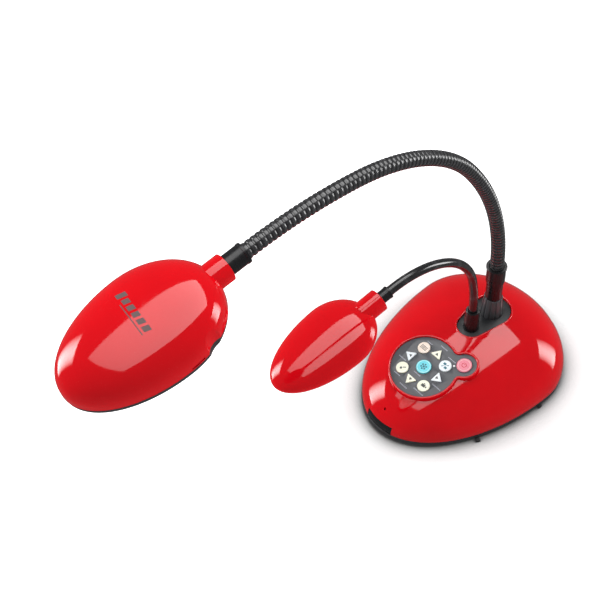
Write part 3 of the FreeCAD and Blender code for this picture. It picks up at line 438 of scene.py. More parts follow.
def build_edge_wear_glint_group():
    """Metal or hard black coating: brighter edges (wear on bare metal, a painted glint on the black coil's
    crests), drawn lines and a cloudy roughness.
    """
    tree, takes, out = new_group("worn_metal", [
        ("Place", "Vector"), ("Colour", "Color"), ("Rubbed", "Color"), ("Edge Share", "Float"),
        ("Smooth", "Float"), ("Rough", "Float"), ("Line Depth", "Float")],
        [("Colour", "Color"), ("Roughness", "Float"), ("Normal", "Vector")])
    place = takes["Place"]
    sharp = put(tree, "ShaderNodeNewGeometry").outputs["Pointiness"]
    broken = arithmetic(tree, "MULTIPLY_ADD", noise(tree, place, 420.0, 4.0), 0.06, sharp)
    share = arithmetic(tree, "MULTIPLY", ramp(tree, broken, 0.54, 0.6), takes["Edge Share"])
    tree.links.new(mixed(tree, share, takes["Colour"], takes["Rubbed"]), out.inputs["Colour"])
    cloud = noise(tree, place, 150.0, 5.0)
    tree.links.new(between(tree, cloud, takes["Smooth"], takes["Rough"]), out.inputs["Roughness"])
    drawn = put(tree, "ShaderNodeMapping", {"Vector": place, "Scale": (40.0, 2.0, 2.0)})
    lines = noise(tree, drawn.outputs["Vector"], 60.0, 3.0)
    tree.links.new(bumped(tree, lines, takes["Line Depth"]), out.inputs["Normal"])
    return tree


MOULDED = build_moulded_group()
EDGE_WEAR_GLINT = build_edge_wear_glint_group()


def new_material(name, **shader):
    """A material with its shader's plain numbers set, and its tree, shader and object coordinates."""
    material = bpy.data.materials.new(name)
    material.use_nodes = True
    tree = material.node_tree
    surface = tree.nodes["Principled BSDF"]
    for label, value in shader.items():
        surface.inputs[label.replace("_", " ")].default_value = value
    place = tree.nodes.new("ShaderNodeTexCoord").outputs["Object"]
    return material, tree, surface, place


def grouped(name, group, values, shader):
    """A material whose colour, roughness and normal come from a shared group with its own values."""
    material, tree, surface, place = new_material(name, **shader)
    effect = put(tree, "ShaderNodeGroup", {}, node_tree=group)
    for label, value in values.items():
        effect.inputs[label].default_value = value
    tree.links.new(place, effect.inputs["Place"])
    for given, socket in (("Colour", "Base Color"), ("Roughness", "Roughness"), ("Normal", "Normal")):
        tree.links.new(effect.outputs[given], surface.inputs[socket])
    return material


def moulded(name, colour, grain=(900.0, 2e-6), rough=(0.3, 0.42), dust=0.0, **shader):
    """Plastic or rubber: grain is its size and depth, rough the range of roughness."""
    values = {"Colour": (*colour, 1), "Grain Size": grain[0], "Grain Depth": grain[1], "Smooth": rough[0],
              "Rough": rough[1], "Dust": dust}
    return grouped(name, MOULDED, values, shader)


def key_plastic(name, colour, depth=0.05):
    return moulded(name, colour, grain=(1500.0, 4e-6), rough=(0.26, 0.4), Subsurface_Weight=depth)


def ink(name, colour, rough=(0.4, 0.55), **shader):
    return moulded(name, colour, grain=(1800.0, 3e-6), rough=rough, **shader)


def metal(name, colour, rubbed, edge=0.6, rough=(0.25, 0.45), lines=2e-6, metallic=1.0, **shader):
    """Metal or hard black coating; the second colour is that of its brighter edges: worn metal on bare metal, a
    painted glint on the black coil.
    """
    values = {"Colour": (*colour, 1), "Rubbed": (*rubbed, 1), "Edge Share": edge, "Smooth": rough[0],
              "Rough": rough[1], "Line Depth": lines}
    return grouped(name, EDGE_WEAR_GLINT, values, {"Metallic": metallic, **shader})


def circuit_board():
    """Solder mask over tracks, with plated pads where the cells meet."""
    material, tree, surface, place = new_material("circuit_board", Roughness=0.35)
    tracks = put(tree, "ShaderNodeTexBrick", {"Vector": place, "Color1": (0.02, 0.16, 0.07, 1),
                                              "Color2": (0.03, 0.21, 0.09, 1), "Mortar": (0.05, 0.3, 0.13, 1),
                                              "Scale": 120.0, "Mortar Size": 0.04})
    cells = put(tree, "ShaderNodeTexVoronoi", {"Vector": place, "Scale": 230.0})
    pad = ramp(tree, cells.outputs["Distance"], 0.16, 0.12)
    colour = mixed(tree, pad, tracks.outputs["Color"], (0.75, 0.6, 0.3, 1))
    tree.links.new(colour, surface.inputs["Base Color"])
    tree.links.new(pad, surface.inputs["Metallic"])
    tree.links.new(bumped(tree, tracks.outputs["Fac"], 3e-5), surface.inputs["Normal"])
    return material


def coated_glass():
    """Lens glass: clear, with a coat, and faint wiping marks that change its gloss."""
    material, tree, surface, place = new_material("coated_lens", Transmission_Weight=0.85, IOR=1.52,
                                                  Coat_Weight=1.0, Coat_Roughness=0.02)
    surface.inputs["Base Color"].default_value = (0.35, 0.42, 0.62, 1)
    wipe = noise(tree, place, 300.0, 4.0)
    tree.links.new(ramp(tree, wipe, 0.3, 0.8, 0.01, 0.06), surface.inputs["Roughness"])
    return material


def milky(name, colour, glow):
    """Light diffusing plastic with a fine prism pattern."""
    material, tree, surface, place = new_material(name, Emission_Strength=glow, Subsurface_Weight=0.1,
                                                  Roughness=0.3)
    surface.inputs["Emission Color"].default_value = (*colour, 1)
    waves = put(tree, "ShaderNodeTexVoronoi", {"Vector": place, "Scale": 700.0}).outputs["Distance"]
    tint = ramp(tree, waves, 0.0, 0.7, 1.0, 0.93)
    tree.links.new(dimmed(tree, colour, tint), surface.inputs["Base Color"])
    tree.links.new(bumped(tree, waves, 8e-5), surface.inputs["Normal"])
    return material


RED = moulded("gloss_red_shell", (0.64, 0.0004, 0.005), grain=(70.0, 3e-6), rough=(0.05, 0.09), dust=0.02,
              Coat_Weight=0.15, Coat_Roughness=0.03)
TUB_BLACK = moulded("tub_black", (0.028, 0.029, 0.032), grain=(1600.0, 3e-5), rough=(0.42, 0.55), dust=0.05)
WINDOW_BLACK = moulded("window_black", (0.008, 0.008, 0.009), grain=(120.0, 2e-6), rough=(0.05, 0.12),
                       dust=0.02)
PLATE_BLACK = moulded("plate_black", (0.016, 0.017, 0.019), grain=(1500.0, 2e-5), dust=0.03)
SLEEVE_BLACK = moulded("sleeve_black", (0.008, 0.008, 0.009), grain=(700.0, 3e-6), rough=(0.26, 0.36),
                       dust=0.01)
SOCKET_GREY = moulded("socket_grey", (0.07, 0.072, 0.078), grain=(1300.0, 1e-5), rough=(0.28, 0.4), dust=0.03)
FILM = moulded("panel_film", (0.085, 0.09, 0.1), grain=(2400.0, 1.2e-5), dust=0.04)
RUBBER = moulded("foot_rubber", (0.018, 0.018, 0.019), grain=(1900.0, 4e-5), rough=(0.6, 0.8), dust=0.12)
KEY_CREAM = key_plastic("key_cream", (0.97, 0.96, 0.78))
KEY_ROSE = key_plastic("key_rose", (0.97, 0.82, 0.7))
KEY_WHITE = key_plastic("key_white", (0.9, 0.95, 0.98))
KEY_CYAN = key_plastic("key_cyan", (0.16, 0.7, 0.8))
KEY_CYAN_RIM = key_plastic("key_cyan_rim", (0.45, 0.85, 0.9), 0.0)
KEY_PINK = key_plastic("key_pink", (0.88, 0.25, 0.33))
KEY_PINK_RIM = key_plastic("key_pink_rim", (0.92, 0.5, 0.52), 0.0)
KEY_RED = key_plastic("key_red", (0.7, 0.03, 0.06), 0.0)
INK_DARK = ink("dark_print", (0.06, 0.065, 0.06))
INK_BLUE = ink("blue_print", (0.02, 0.16, 0.22))
INK_PALE = ink("pale_print", (0.42, 0.43, 0.5))
INK_GREY = ink("grey_print", (0.13, 0.085, 0.085), (0.45, 0.6), Specular_IOR_Level=0.3)
# The coil's crests turn lighter grey: partly edge wear, partly a painted glint.
COIL = metal("coil_black", (0.01, 0.01, 0.011), (0.14, 0.14, 0.15), edge=0.5, rough=(0.16, 0.26), lines=1e-6,
             metallic=0.0, Coat_Weight=0.8, Coat_Roughness=0.2)
NECK_SATIN = metal("neck_satin", (0.01, 0.01, 0.011), (0.08, 0.08, 0.085), edge=0.3, rough=(0.14, 0.24),
                   lines=1e-6, metallic=0.0, Coat_Weight=0.6, Coat_Roughness=0.15)
ZINC = metal("zinc", (0.6, 0.6, 0.58), (0.75, 0.75, 0.73), rough=(0.28, 0.45))
STEEL = metal("plain_steel", (0.42, 0.42, 0.43), (0.6, 0.6, 0.6), rough=(0.35, 0.55), lines=6e-6)
CONNECTOR = metal("connector_plate", (0.62, 0.61, 0.58), (0.8, 0.79, 0.76), rough=(0.2, 0.35))
BOARD = circuit_board()
GLASS = coated_glass()
DIFFUSER = milky("lamp_diffuser_white", (0.92, 0.92, 0.9), 0.15)
LED = milky("led_white", (0.95, 0.93, 0.75), 0.3)
SIGNAL = milky("signal_white", (0.95, 0.95, 0.95), 0.25)


# ---- base ----

BASE_LOW, BASE_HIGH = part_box("top_cover")
BASE_HALF_WIDTH = (BASE_HIGH.x - BASE_LOW.x) / 2
BASE_WIDEST_Y, BASE_REAR = 27.7 * MM, 70.9 * MM
BASE_FRONT = BASE_WIDEST_Y - BASE_LOW.y
BASE_EQUATOR_Z, BASE_DOME = 10.6 * MM, 51.8 * MM
BASE_WALL = 2.5 * MM
LIP, PANEL_DEPTH, OVERLAY, PANEL_POD = 2.4 * MM, 1.6 * MM, 1.2 * MM, 7 * MM
PANEL_DISC, PANEL_LOBE, PANEL_HOLLOW, PANEL_SPAN = 33 * MM, 12.3 * MM, 6 * MM, 39.5 * MM
PLATE_LIP, PLATE_RIM, PLATE_SMALL = 2 * MM, 2 * MM, 14 * MM
SEAT_GAP = 0.15 * MM
BEYOND = 9 * MM  # how far a cutting block reaches past a face
# A black band under the tub, down to near the floor, is a dark sheet put where the shadow under the base lies: its
# insets and its low edge.
UNDER_TUB_SHADE_OUTER, UNDER_TUB_SHADE_INNER, UNDER_TUB_SHADE_LOW = 0.8 * MM, 3.2 * MM, 1.3 * MM
TAB_LENGTH, TAB_WIDTH, TAB_HEIGHT = 5.2 * MM, 4.4 * MM, 2.6 * MM
TABS = ((74 * MM, -55.5 * MM, -28), (86.5 * MM, 18 * MM, 2))  # across, along, and turn in degrees


def base_egg(name, inset=0.0, below=0.0, **mesh):
    return egg(name, BASE_HALF_WIDTH - inset, BASE_FRONT - inset, BASE_REAR - inset, BASE_DOME - inset,
               BASE_WIDEST_Y, BASE_EQUATOR_Z, skirt=BASE_EQUATOR_Z - BASE_LOW.z + below, **mesh)


def base_outline(inset):
    """The base's egg outline, drawn in by the inset."""
    points = []
    for step in range(160):
        turn = 2 * math.pi * step / 160
        length = (BASE_REAR if math.sin(turn) > 0 else BASE_FRONT) - inset
        points.append(((BASE_HALF_WIDTH - inset) * math.cos(turn), BASE_WIDEST_Y + length * math.sin(turn)))
    return points


def panel_outline(grow=0.0):
    """A disc and a lobe on the diagonal, joined by hollow fillets."""
    disc, lobe, hollow, span = PANEL_DISC + grow, PANEL_LOBE + grow, PANEL_HOLLOW - grow, PANEL_SPAN
    along = ((disc + hollow) ** 2 - (lobe + hollow) ** 2 + span**2) / (2 * span)
    aside = math.sqrt((disc + hollow) ** 2 - along**2)
    near = math.degrees(math.atan2(aside, along))
    far = math.degrees(math.atan2(aside, along - span))
    points = arc(0, 0, disc, near, 360 - near, 120)
    points += arc(along, -aside, hollow, 180 - near, 180 - far, 16)[1:]
    points += arc(span, 0, lobe, -far, far, 48)[1:]
    points += arc(along, aside, hollow, far - 180, near - 180, 16)[1:-1]
    half = math.sqrt(0.5)
    return [((x - y) * half, (x + y) * half) for x, y in points]


def plate_outline(grow=0.0):
    """Two arcs of different size and the lines that touch both."""
    low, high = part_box("neck_plate")
    small, large = PLATE_SMALL + grow, (high.x - low.x) / 2 + grow
    near, far = low.y + PLATE_SMALL, high.y - (high.x - low.x) / 2
    lean = math.degrees(math.asin((small - large) / (far - near)))
    return arc(0, far, large, lean, 180 - lean, 60) + arc(0, near, small, 180 - lean, 360 + lean, 48)


def rimmed_pod(name, outline, low, floor, high, lip, crest):
    """A prism with a sunk top: the face is inset by the lip and pushed down, and the lip is rounded."""
    pod = prism(name, outline, low, high)
    choose(pod, "FACE", lambda face: face.normal.z > 0.9)
    bpy.ops.mesh.inset(thickness=lip, depth=0)
    bpy.ops.mesh.extrude_region_move(TRANSFORM_OT_translate={"value": (0, 0, floor - high)})
    leave_edit()
    return smooth(round_rim(pod, high, crest, 5))


def base_cover():
    shell = base_egg("base_cover", **FINE)
    boolean(shell, base_egg("hollow", BASE_WALL, 1 * MM, **COARSE))
    plate_low, plate_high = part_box("neck_plate")
    rim_z = plate_high.z + PLATE_RIM
    overlap = 0.3 * MM
    boolean(shell, placed(prism("hole", panel_outline(LIP - overlap), -PANEL_POD - 1 * MM, 20 * MM), PANEL))
    boolean(shell, prism("hole", plate_outline(PLATE_LIP - overlap), plate_low.z - 6 * MM, rim_z + 10 * MM))
    panel_pod = rimmed_pod("panel_pod", panel_outline(LIP), -PANEL_POD, -OVERLAY, PANEL_DEPTH,
                           LIP - SEAT_GAP, 1.0 * MM)
    boolean(panel_pod, prism("opening", panel_outline(-4 * MM), -20 * MM, 20 * MM))
    boolean(shell, placed(panel_pod, PANEL), "UNION")
    plate_pod = rimmed_pod("plate_pod", plate_outline(PLATE_LIP), plate_low.z - 3 * MM, plate_low.z, rim_z,
                           PLATE_LIP - SEAT_GAP, 0.8 * MM)
    boolean(plate_pod, prism("opening", plate_outline(-3 * MM), 0, 1))
    boolean(shell, plate_pod, "UNION")
    window_low, window_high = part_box("front_window")
    boolean(shell, block("notch", (window_low.x - SEAT_GAP, window_low.y - BEYOND, 0),
                         (window_high.x + SEAT_GAP, window_high.y + BEYOND, window_high.z + SEAT_GAP)))
    bay_low, bay_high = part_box("rear_panel")
    boolean(shell, block("bay", (bay_low.x - 0.1 * MM, bay_low.y, 0),
                         (bay_high.x + 0.1 * MM, bay_low.y + 40 * MM, bay_high.z + 0.1 * MM)))
    hole_y = sum(corner.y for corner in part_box("microphone")) / 2
    hole = turned("voice_hole", [(1.1 * MM, 20 * MM), (1.1 * MM, 60 * MM)], 24)
    boolean(shell, placed(hole, Matrix.Translation((0, hole_y, 0))))
    return show(smooth(shell, 32), RED, "gloss_red", "base", "top_cover")


def rear_wall():
    """The cover's wall that frames the connector panel."""
    low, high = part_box("rear_panel")
    wall = 2 * MM
    frame_piece = block("rear_wall", (low.x - wall, low.y - wall, BASE_LOW.z),
                        (high.x + wall, low.y, high.z + wall))
    boolean(frame_piece, block("opening", (low.x + wall, low.y - BEYOND, 0),
                               (high.x - wall, low.y + BEYOND, high.z - wall)))
    boolean(frame_piece, base_egg("inside", segments=160, rings=64), "INTERSECT")
    return show(smooth(frame_piece), RED, "gloss_red", "base")


def front_window():
    low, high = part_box("front_window")
    window = base_egg("front_window_cover", 0.25 * MM, **FINE)
    boolean(window, base_egg("hollow", BASE_WALL, 1 * MM, **COARSE))
    boolean(window, block("keep", (low.x, low.y - BEYOND, low.z - BEYOND), high), "INTERSECT")
    return show(smooth(window, 30), WINDOW_BLACK, "window_black", "base", "front_window")


def tub_and_feet():
    tub = rounded(copy_of("bottom_tub", "tub"), 0.5 * MM, 2, 50)
    show(smooth(tub), TUB_BLACK, "base_black", "base", "bottom_tub")
    foot_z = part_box("bottom_tub")[0].z
    # A black band fills the gap under the tub down to near the floor: a dark sheet standing in for the shadow
    # under the base.
    shade_band = prism("tub_apron", base_outline(UNDER_TUB_SHADE_OUTER), UNDER_TUB_SHADE_LOW, foot_z)
    boolean(shade_band, prism("inside", base_outline(UNDER_TUB_SHADE_INNER), 0, 20 * MM))
    rounded(shade_band, 0.4 * MM, 2, 60)
    show(smooth(shade_band), TUB_BLACK, "base_black", "base")
    tabs = []
    for x, y, turn in TABS:
        for side in (1, -1):
            tab = block("tab", (-TAB_LENGTH / 2, -TAB_WIDTH / 2, 0),
                        (TAB_LENGTH / 2, TAB_WIDTH / 2, TAB_HEIGHT))
            rounded(tab, 0.5 * MM, 2, 60)
            tabs.append(placed(tab, Matrix.Translation((side * x, y, 0)) @ turned_about("Z", side * turn)))
    show(smooth(joined("foot_tabs", tabs)), RUBBER, "rubber_dark", "base")
    feet = rounded(copy_of("rubber_feet", "feet"), 0.5 * MM, 2, 50)
    show(smooth(feet), RUBBER, "rubber_dark", "base", "rubber_feet")


# ---- key panel: film, keys, their marks, and the lines printed beside them ----

KEY_TOP, KEY_LOW = 0.9 * MM, -4.0 * MM
PRINT = 0.06 * MM
ROUND_KEYS = {"key_upper_right": (45, KEY_WHITE, "key_white"),
              "key_upper_left": (135, KEY_ROSE, "key_cream"),
              "key_lower_left": (225, KEY_CREAM, "key_cream"),
              "key_lower_right": (315, KEY_CREAM, "key_cream")}
ARROW_KEYS = {"key_right": (0, KEY_WHITE, "key_white"), "key_up": (90, KEY_CREAM, "key_cream"),
              "key_left": (180, KEY_WHITE, "key_white"), "key_down": (270, KEY_CREAM, "key_cream")}
ROUND_RADIUS, ROUND_RING = 6.25 * MM, 21 * MM
CENTRE_RADIUS, POWER_RADIUS, POWER_RING, POWER_ANGLE = 7.5 * MM, 7.6 * MM, PANEL_SPAN, 45
SIGNAL_RING, SIGNAL_HOLE = 29.6 * MM, 1.1 * MM
ARROW_RING, ARROW_BASE, ARROW_LENGTH, ARROW_CORNER = 18.6 * MM, 12.4 * MM, 9.6 * MM, 0.8 * MM
KEY_GAP = 0.35 * MM
# Signs on the round keys: bars by their middle's place from the key's middle, length, width (mm) and turn.
BAR_SIGNS = {"key_upper_left": (INK_GREY, [(0, -1.5, 4.4, 0.7, 0), (0, 0, 4.4, 0.7, 0), (0, 1.5, 4.4, 0.7, 0),
                                           (-3.1, 0, 0.6, 4.6, 0), (3.1, 0, 0.6, 4.6, 0)]),
             "key_upper_right": (INK_BLUE, [(-1.6, 1.3, 3.0, 2.4, 0), (1.7, -1.5, 3.0, 2.2, 0),
                                            (1.8, 1.7, 2.6, 0.7, 45), (-1.8, -1.8, 2.6, 0.7, 45)]),
             "key_lower_left": (INK_DARK, [(1.6, 1.4, 3.2, 0.8, 40)]),
             "key_lower_right": (INK_DARK, [(-0.4, 0, 4.4, 3.0, 0), (2.9, 0, 1.2, 1.8, 0),
                                            (-0.4, 2.2, 2.0, 0.8, 0)])}
# Rows of label dashes: place of a row's middle and its length (mm).
LABEL_ROWS = [(-14.5, 22.7, 7.0), (0.1, 28.0, 9.2), (14.9, 24.0, 10.3), (-22.5, -7.2, 9.5),
              (-14.0, -23.0, 8.0), (0.0, -28.0, 10.0), (15.5, -22.6, 13.0), (24.8, -7.2, 11.0), (0.5, -9.6, 9.0)]


def arrow_outline(angle, grow=0.0, corner=ARROW_CORNER):
    """A triangle that points away from the panel's middle, with round corners."""
    slope = math.atan2(ARROW_LENGTH, ARROW_BASE / 2)
    tip = ARROW_RING + ARROW_LENGTH * 2 / 3
    foot = ARROW_RING - ARROW_LENGTH / 3
    inward = corner / math.tan(slope / 2)
    centres = [(tip - corner / math.cos(slope), 0), (foot + corner, ARROW_BASE / 2 - inward),
               (foot + corner, -ARROW_BASE / 2 + inward)]
    side = math.degrees(slope)
    spans = [(side - 90, 90 - side), (90 - side, 180), (180, 270 + side)]
    points = []
    for (x, y), (start, end) in zip(centres, spans):
        points += arc(x, y, corner + grow, start, end, 8)
    return spun(points, angle)


def key_cap(name, outline, material, slot, body):
    cap = prism(name, outline, KEY_LOW, KEY_TOP)
    round_rim(cap, KEY_TOP, 0.5 * MM, 4)
    return show(placed(smooth(cap, 40), PANEL), material, slot, body, body)


def mark(name, outlines, material, body, slot, height=KEY_TOP):
    """Thin printed shapes on a key or on the film."""
    prints = [prism(name, outline, height - PRINT, height + PRINT) for outline in outlines]
    return show(placed(joined(name, prints), PANEL), material, slot, body)


def ring(x, y, outer, inner, name):
    """A flat printed ring on a key."""
    band = prism(name, circle(x, y, outer, 48), KEY_TOP - PRINT, KEY_TOP + PRINT)
    return boolean(band, prism("inner", circle(x, y, inner, 48), KEY_TOP - 1 * MM, KEY_TOP + 1 * MM))


def bar(x, y, length, width, angle=0.0):
    """Corners of a straight bar."""
    u, v = length / 2, width / 2
    return spun([(-u, -v), (u, -v), (u, v), (-u, v)], angle, x, y)


def film():
    """The panel's printed film with a hole for every key."""
    sheet = prism("panel_film", panel_outline(), -OVERLAY, 0)
    holes = [circle(0, 0, CENTRE_RADIUS + KEY_GAP, 64),
             circle(*polar(POWER_RING, POWER_ANGLE), POWER_RADIUS + KEY_GAP, 64),
             circle(*polar(SIGNAL_RING, POWER_ANGLE), SIGNAL_HOLE, 24)]
    holes += [circle(*polar(ROUND_RING, angle), ROUND_RADIUS + KEY_GAP, 64)
              for angle, *_ in ROUND_KEYS.values()]
    holes += [arrow_outline(angle, KEY_GAP) for angle, *_ in ARROW_KEYS.values()]
    tools = [prism("hole", outline, -5 * MM, 5 * MM) for outline in holes]
    boolean(sheet, joined("holes", tools))
    rounded(sheet, 0.12 * MM, 2, 60)
    show(placed(smooth(sheet), PANEL), FILM, "overlay_slate", "base", "panel_overlay")
    dot = turned("signal_dot", [(1.0 * MM, -OVERLAY), (1.0 * MM, 0), (0.8 * MM, 0.2 * MM),
                                (0.4 * MM, 0.3 * MM)], 24)
    placed(dot, PANEL @ Matrix.Translation((*polar(SIGNAL_RING, POWER_ANGLE), 0)))
    show(smooth(dot), SIGNAL, "light_white", "base", "indicator_light")


def keys():
    for name, (angle, material, slot) in ROUND_KEYS.items():
        key_cap(name + "_cap", circle(*polar(ROUND_RING, angle), ROUND_RADIUS), material, slot, name)
    for name, (angle, material, slot) in ARROW_KEYS.items():
        key_cap(name + "_cap", arrow_outline(angle), material, slot, name)
    key_cap("key_centre_cap", circle(0, 0, CENTRE_RADIUS), KEY_CYAN, "key_cyan", "key_centre")
    power = polar(POWER_RING, POWER_ANGLE)
    key_cap("key_power_cap", circle(*power, POWER_RADIUS), KEY_PINK, "key_pink", "key_power")


def arrow_key_marks():
    """A small triangle on each arrow key."""
    for name, (angle, *_) in ARROW_KEYS.items():
        x, y = polar(ARROW_RING - 0.4 * MM, angle)
        corners = [polar(1.9 * MM, angle + turn) for turn in (0, 120, 240)]
        mark(name + "_mark", [[(x + u, y + v) for u, v in corners]], INK_DARK, name, "key_cream")


def round_key_marks():
    """Plain signs of bars; the lower left key has a dot as well."""
    for name, (print_ink, bars) in BAR_SIGNS.items():
        angle, _, slot = ROUND_KEYS[name]
        x, y = polar(ROUND_RING, angle)
        shapes = [bar(x + u * MM, y + v * MM, length * MM, width * MM, turn)
                  for u, v, length, width, turn in bars]
        if name == "key_lower_left":
            shapes.insert(0, circle(x - 0.6 * MM, y - 1.2 * MM, 1.2 * MM, 24))
        mark(name + "_mark", shapes, print_ink, name, slot)


def centre_and_power_marks():
    """Rims near the edge of both keys, a star of dots, and an open ring with a stroke."""
    star = [circle(*polar(2.6 * MM, turn), 0.95 * MM, 16) for turn in range(30, 390, 60)]
    star.append(circle(0, 0, 1.2 * MM, 20))
    mark("key_centre_mark", star, INK_BLUE, "key_centre", "key_cyan")
    rim = ring(0, 0, 6.9 * MM, 6.1 * MM, "key_centre_rim")
    show(placed(rim, PANEL), KEY_CYAN_RIM, "key_cyan", "key_centre")
    x, y = polar(POWER_RING, POWER_ANGLE)
    rim = ring(x, y, 6.4 * MM, 5.6 * MM, "key_power_rim")
    show(placed(rim, PANEL), KEY_PINK_RIM, "key_pink", "key_power")
    sign = ring(x, y, 2.6 * MM, 1.9 * MM, "key_power_mark")
    boolean(sign, block("gap", (x - 0.8 * MM, y, 0), (x + 0.8 * MM, y + 4 * MM, 2 * MM)))
    stroke = prism("stroke", bar(x, y + 1.6 * MM, 0.7 * MM, 2.4 * MM), KEY_TOP - PRINT, KEY_TOP + PRINT)
    show(placed(joined("key_power_mark", [sign, stroke]), PANEL), KEY_RED, "key_pink", "key_power")


def film_print():
    """Rows of short dashes where the keys are labelled."""
    dashes = []
    for x, y, length in LABEL_ROWS:
        count = round(length / 1.6)
        step = length / count
        for i in range(count):
            wide = step * (0.72 if i % 3 else 0.5)
            dashes.append(bar((x - length / 2 + (i + 0.5) * step) * MM, y * MM, wide * MM, 0.95 * MM))
    mark("label_dashes", dashes, INK_PALE, "base", "overlay_slate", height=0.0)


# ---- necks ----

COIL_PITCH, COIL_RADIUS, COIL_ROOT = 4.5 * MM, 7.0 * MM, 6.35 * MM
LAMP_NECK_RADIUS = 4.4 * MM
NECK_SIDES, NECK_CLOSING = 40, 1 * MM
MAIN_FERRULE, LAMP_FERRULE = 18 * MM, 11 * MM
# One turn of the coil: share of the pitch, and share of the wire's height.
COIL_TURN = ((0.1, 0.0), (0.2, 0.62), (0.34, 0.92), (0.5, 1.0), (0.66, 0.92), (0.8, 0.62), (0.9, 0.0))


def neck_bends(prefix, swivel, ferrule):
    """Points and directions where a neck's hinges are, and at its end."""
    links = [joint for joint in JOINTS.values() if joint["child"].startswith(prefix)]
    points = [Vector(joint["pos_m"]) for joint in links]
    end = JOINTS[swivel]
    points.append(Vector(end["pos_m"]) - Vector(end["axis"]).normalized() * ferrule)
    directions = [Vector((0, 0, 1))]
    for first, second in zip(points, points[1:]):
        chord = (second - first).normalized()
        directions.append((2 * directions[-1].dot(chord) * chord - directions[-1]).normalized())
    return points, directions


def bezier_path(name, points, directions):
    """A curve through the hinges whose spans are circular arcs; also the length up to each hinge."""
    data = bpy.data.curves.new(name, "CURVE")
    data.dimensions = "3D"
    data.resolution_u = 64
    data.twist_mode = "MINIMUM"
    spline = data.splines.new("BEZIER")
    spline.bezier_points.add(len(points) - 1)
    lengths = [0.0]
    handles = []
    for i in range(len(points) - 1):
        chord = (points[i + 1] - points[i]).length
        turn = max(directions[i].angle(directions[i + 1]), 1e-6)
        radius = chord / (2 * math.sin(turn / 2))
        lengths.append(lengths[-1] + radius * turn)
        handles.append(4 / 3 * math.tan(turn / 4) * radius)
    for i, (knot, point, direction) in enumerate(zip(spline.bezier_points, points, directions)):
        knot.handle_left_type = knot.handle_right_type = "FREE"
        knot.co = point
        knot.handle_left = point - direction * handles[max(i - 1, 0)]
        knot.handle_right = point + direction * handles[min(i, len(handles) - 1)]
    path = bpy.data.objects.new(name, data)
    bpy.context.scene.collection.objects.link(path)
    return path, lengths


def coil_stations(start, end):
    """A wound coil's outline between two heights: round turns with narrow grooves between them."""
    count = max(1, round((end - start) / COIL_PITCH))
    pitch = (end - start) / count
    stations = [(COIL_ROOT, start)]
    for turn in range(count):
        base = start + turn * pitch
        for share, rise in COIL_TURN:
            stations.append((COIL_ROOT + (COIL_RADIUS - COIL_ROOT) * rise, base + share * pitch))
    stations.append((COIL_ROOT, end))
    return stations


def smooth_stations(start, end):
    count = max(2, round((end - start) / (3 * MM)))
    return [(LAMP_NECK_RADIUS, start + (end - start) * i / count) for i in range(count + 1)]


def neck_skin(name, prefix, swivel, ferrule, stations, material, buried, margin):
    """The neck's outer skin in pieces that each bend across one hinge, from middle to middle of the links."""
    points, directions = neck_bends(prefix, swivel, ferrule)
    path, lengths = bezier_path(name + "_path", points, directions)
    bodies = ["base"] + [f"{prefix}{i}" for i in range(1, len(points))]
    middles = [-buried] + [(a + b) / 2 for a, b in zip(lengths, lengths[1:])]
    for i, body in enumerate(bodies):
        last = i == len(bodies) - 1
        start = middles[i]
        end = lengths[-1] + NECK_CLOSING if last else middles[i + 1]
        piece = turned(f"{name}_{i + 1}", stations(start, end), NECK_SIDES)
        marks = [max(start, 0.0) + margin * (i > 0), end - margin]
        ends = marked_points(marks, path)
        modifier(piece, "CURVE", object=path, deform_axis="POS_Z")
        smooth(piece, 60)
        piece.data.materials.append(material)
        if last:
            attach(piece, body)
        else:
            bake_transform(piece)
        if i:
            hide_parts(f"{prefix}{i}")
    bpy.data.objects.remove(path)


def marked_points(heights, path):
    """Where points at these heights of a straight piece come to lie on the path."""
    bpy.ops.object.select_all(action="DESELECT")
    bpy.ops.mesh.primitive_circle_add(vertices=len(heights) + 1, radius=1)
    marks = fresh("marks")
    for vertex, height in zip(marks.data.vertices, heights):
        vertex.co = (0, 0, height)
    modifier(marks, "CURVE", object=path, deform_axis="POS_Z")
    found = [marks.data.vertices[i].co.copy() for i in range(len(heights))]
    bpy.data.objects.remove(marks)
    return found


def necks():
    neck_skin("main_coil", "main_neck_link_", "head_swivel", MAIN_FERRULE, coil_stations, COIL,
              buried=22 * MM, margin=7 * MM)
    neck_skin("lamp_neck", "lamp_neck_link_", "lamp_swivel", LAMP_FERRULE, smooth_stations, NECK_SATIN,
              buried=10 * MM, margin=4 * MM)


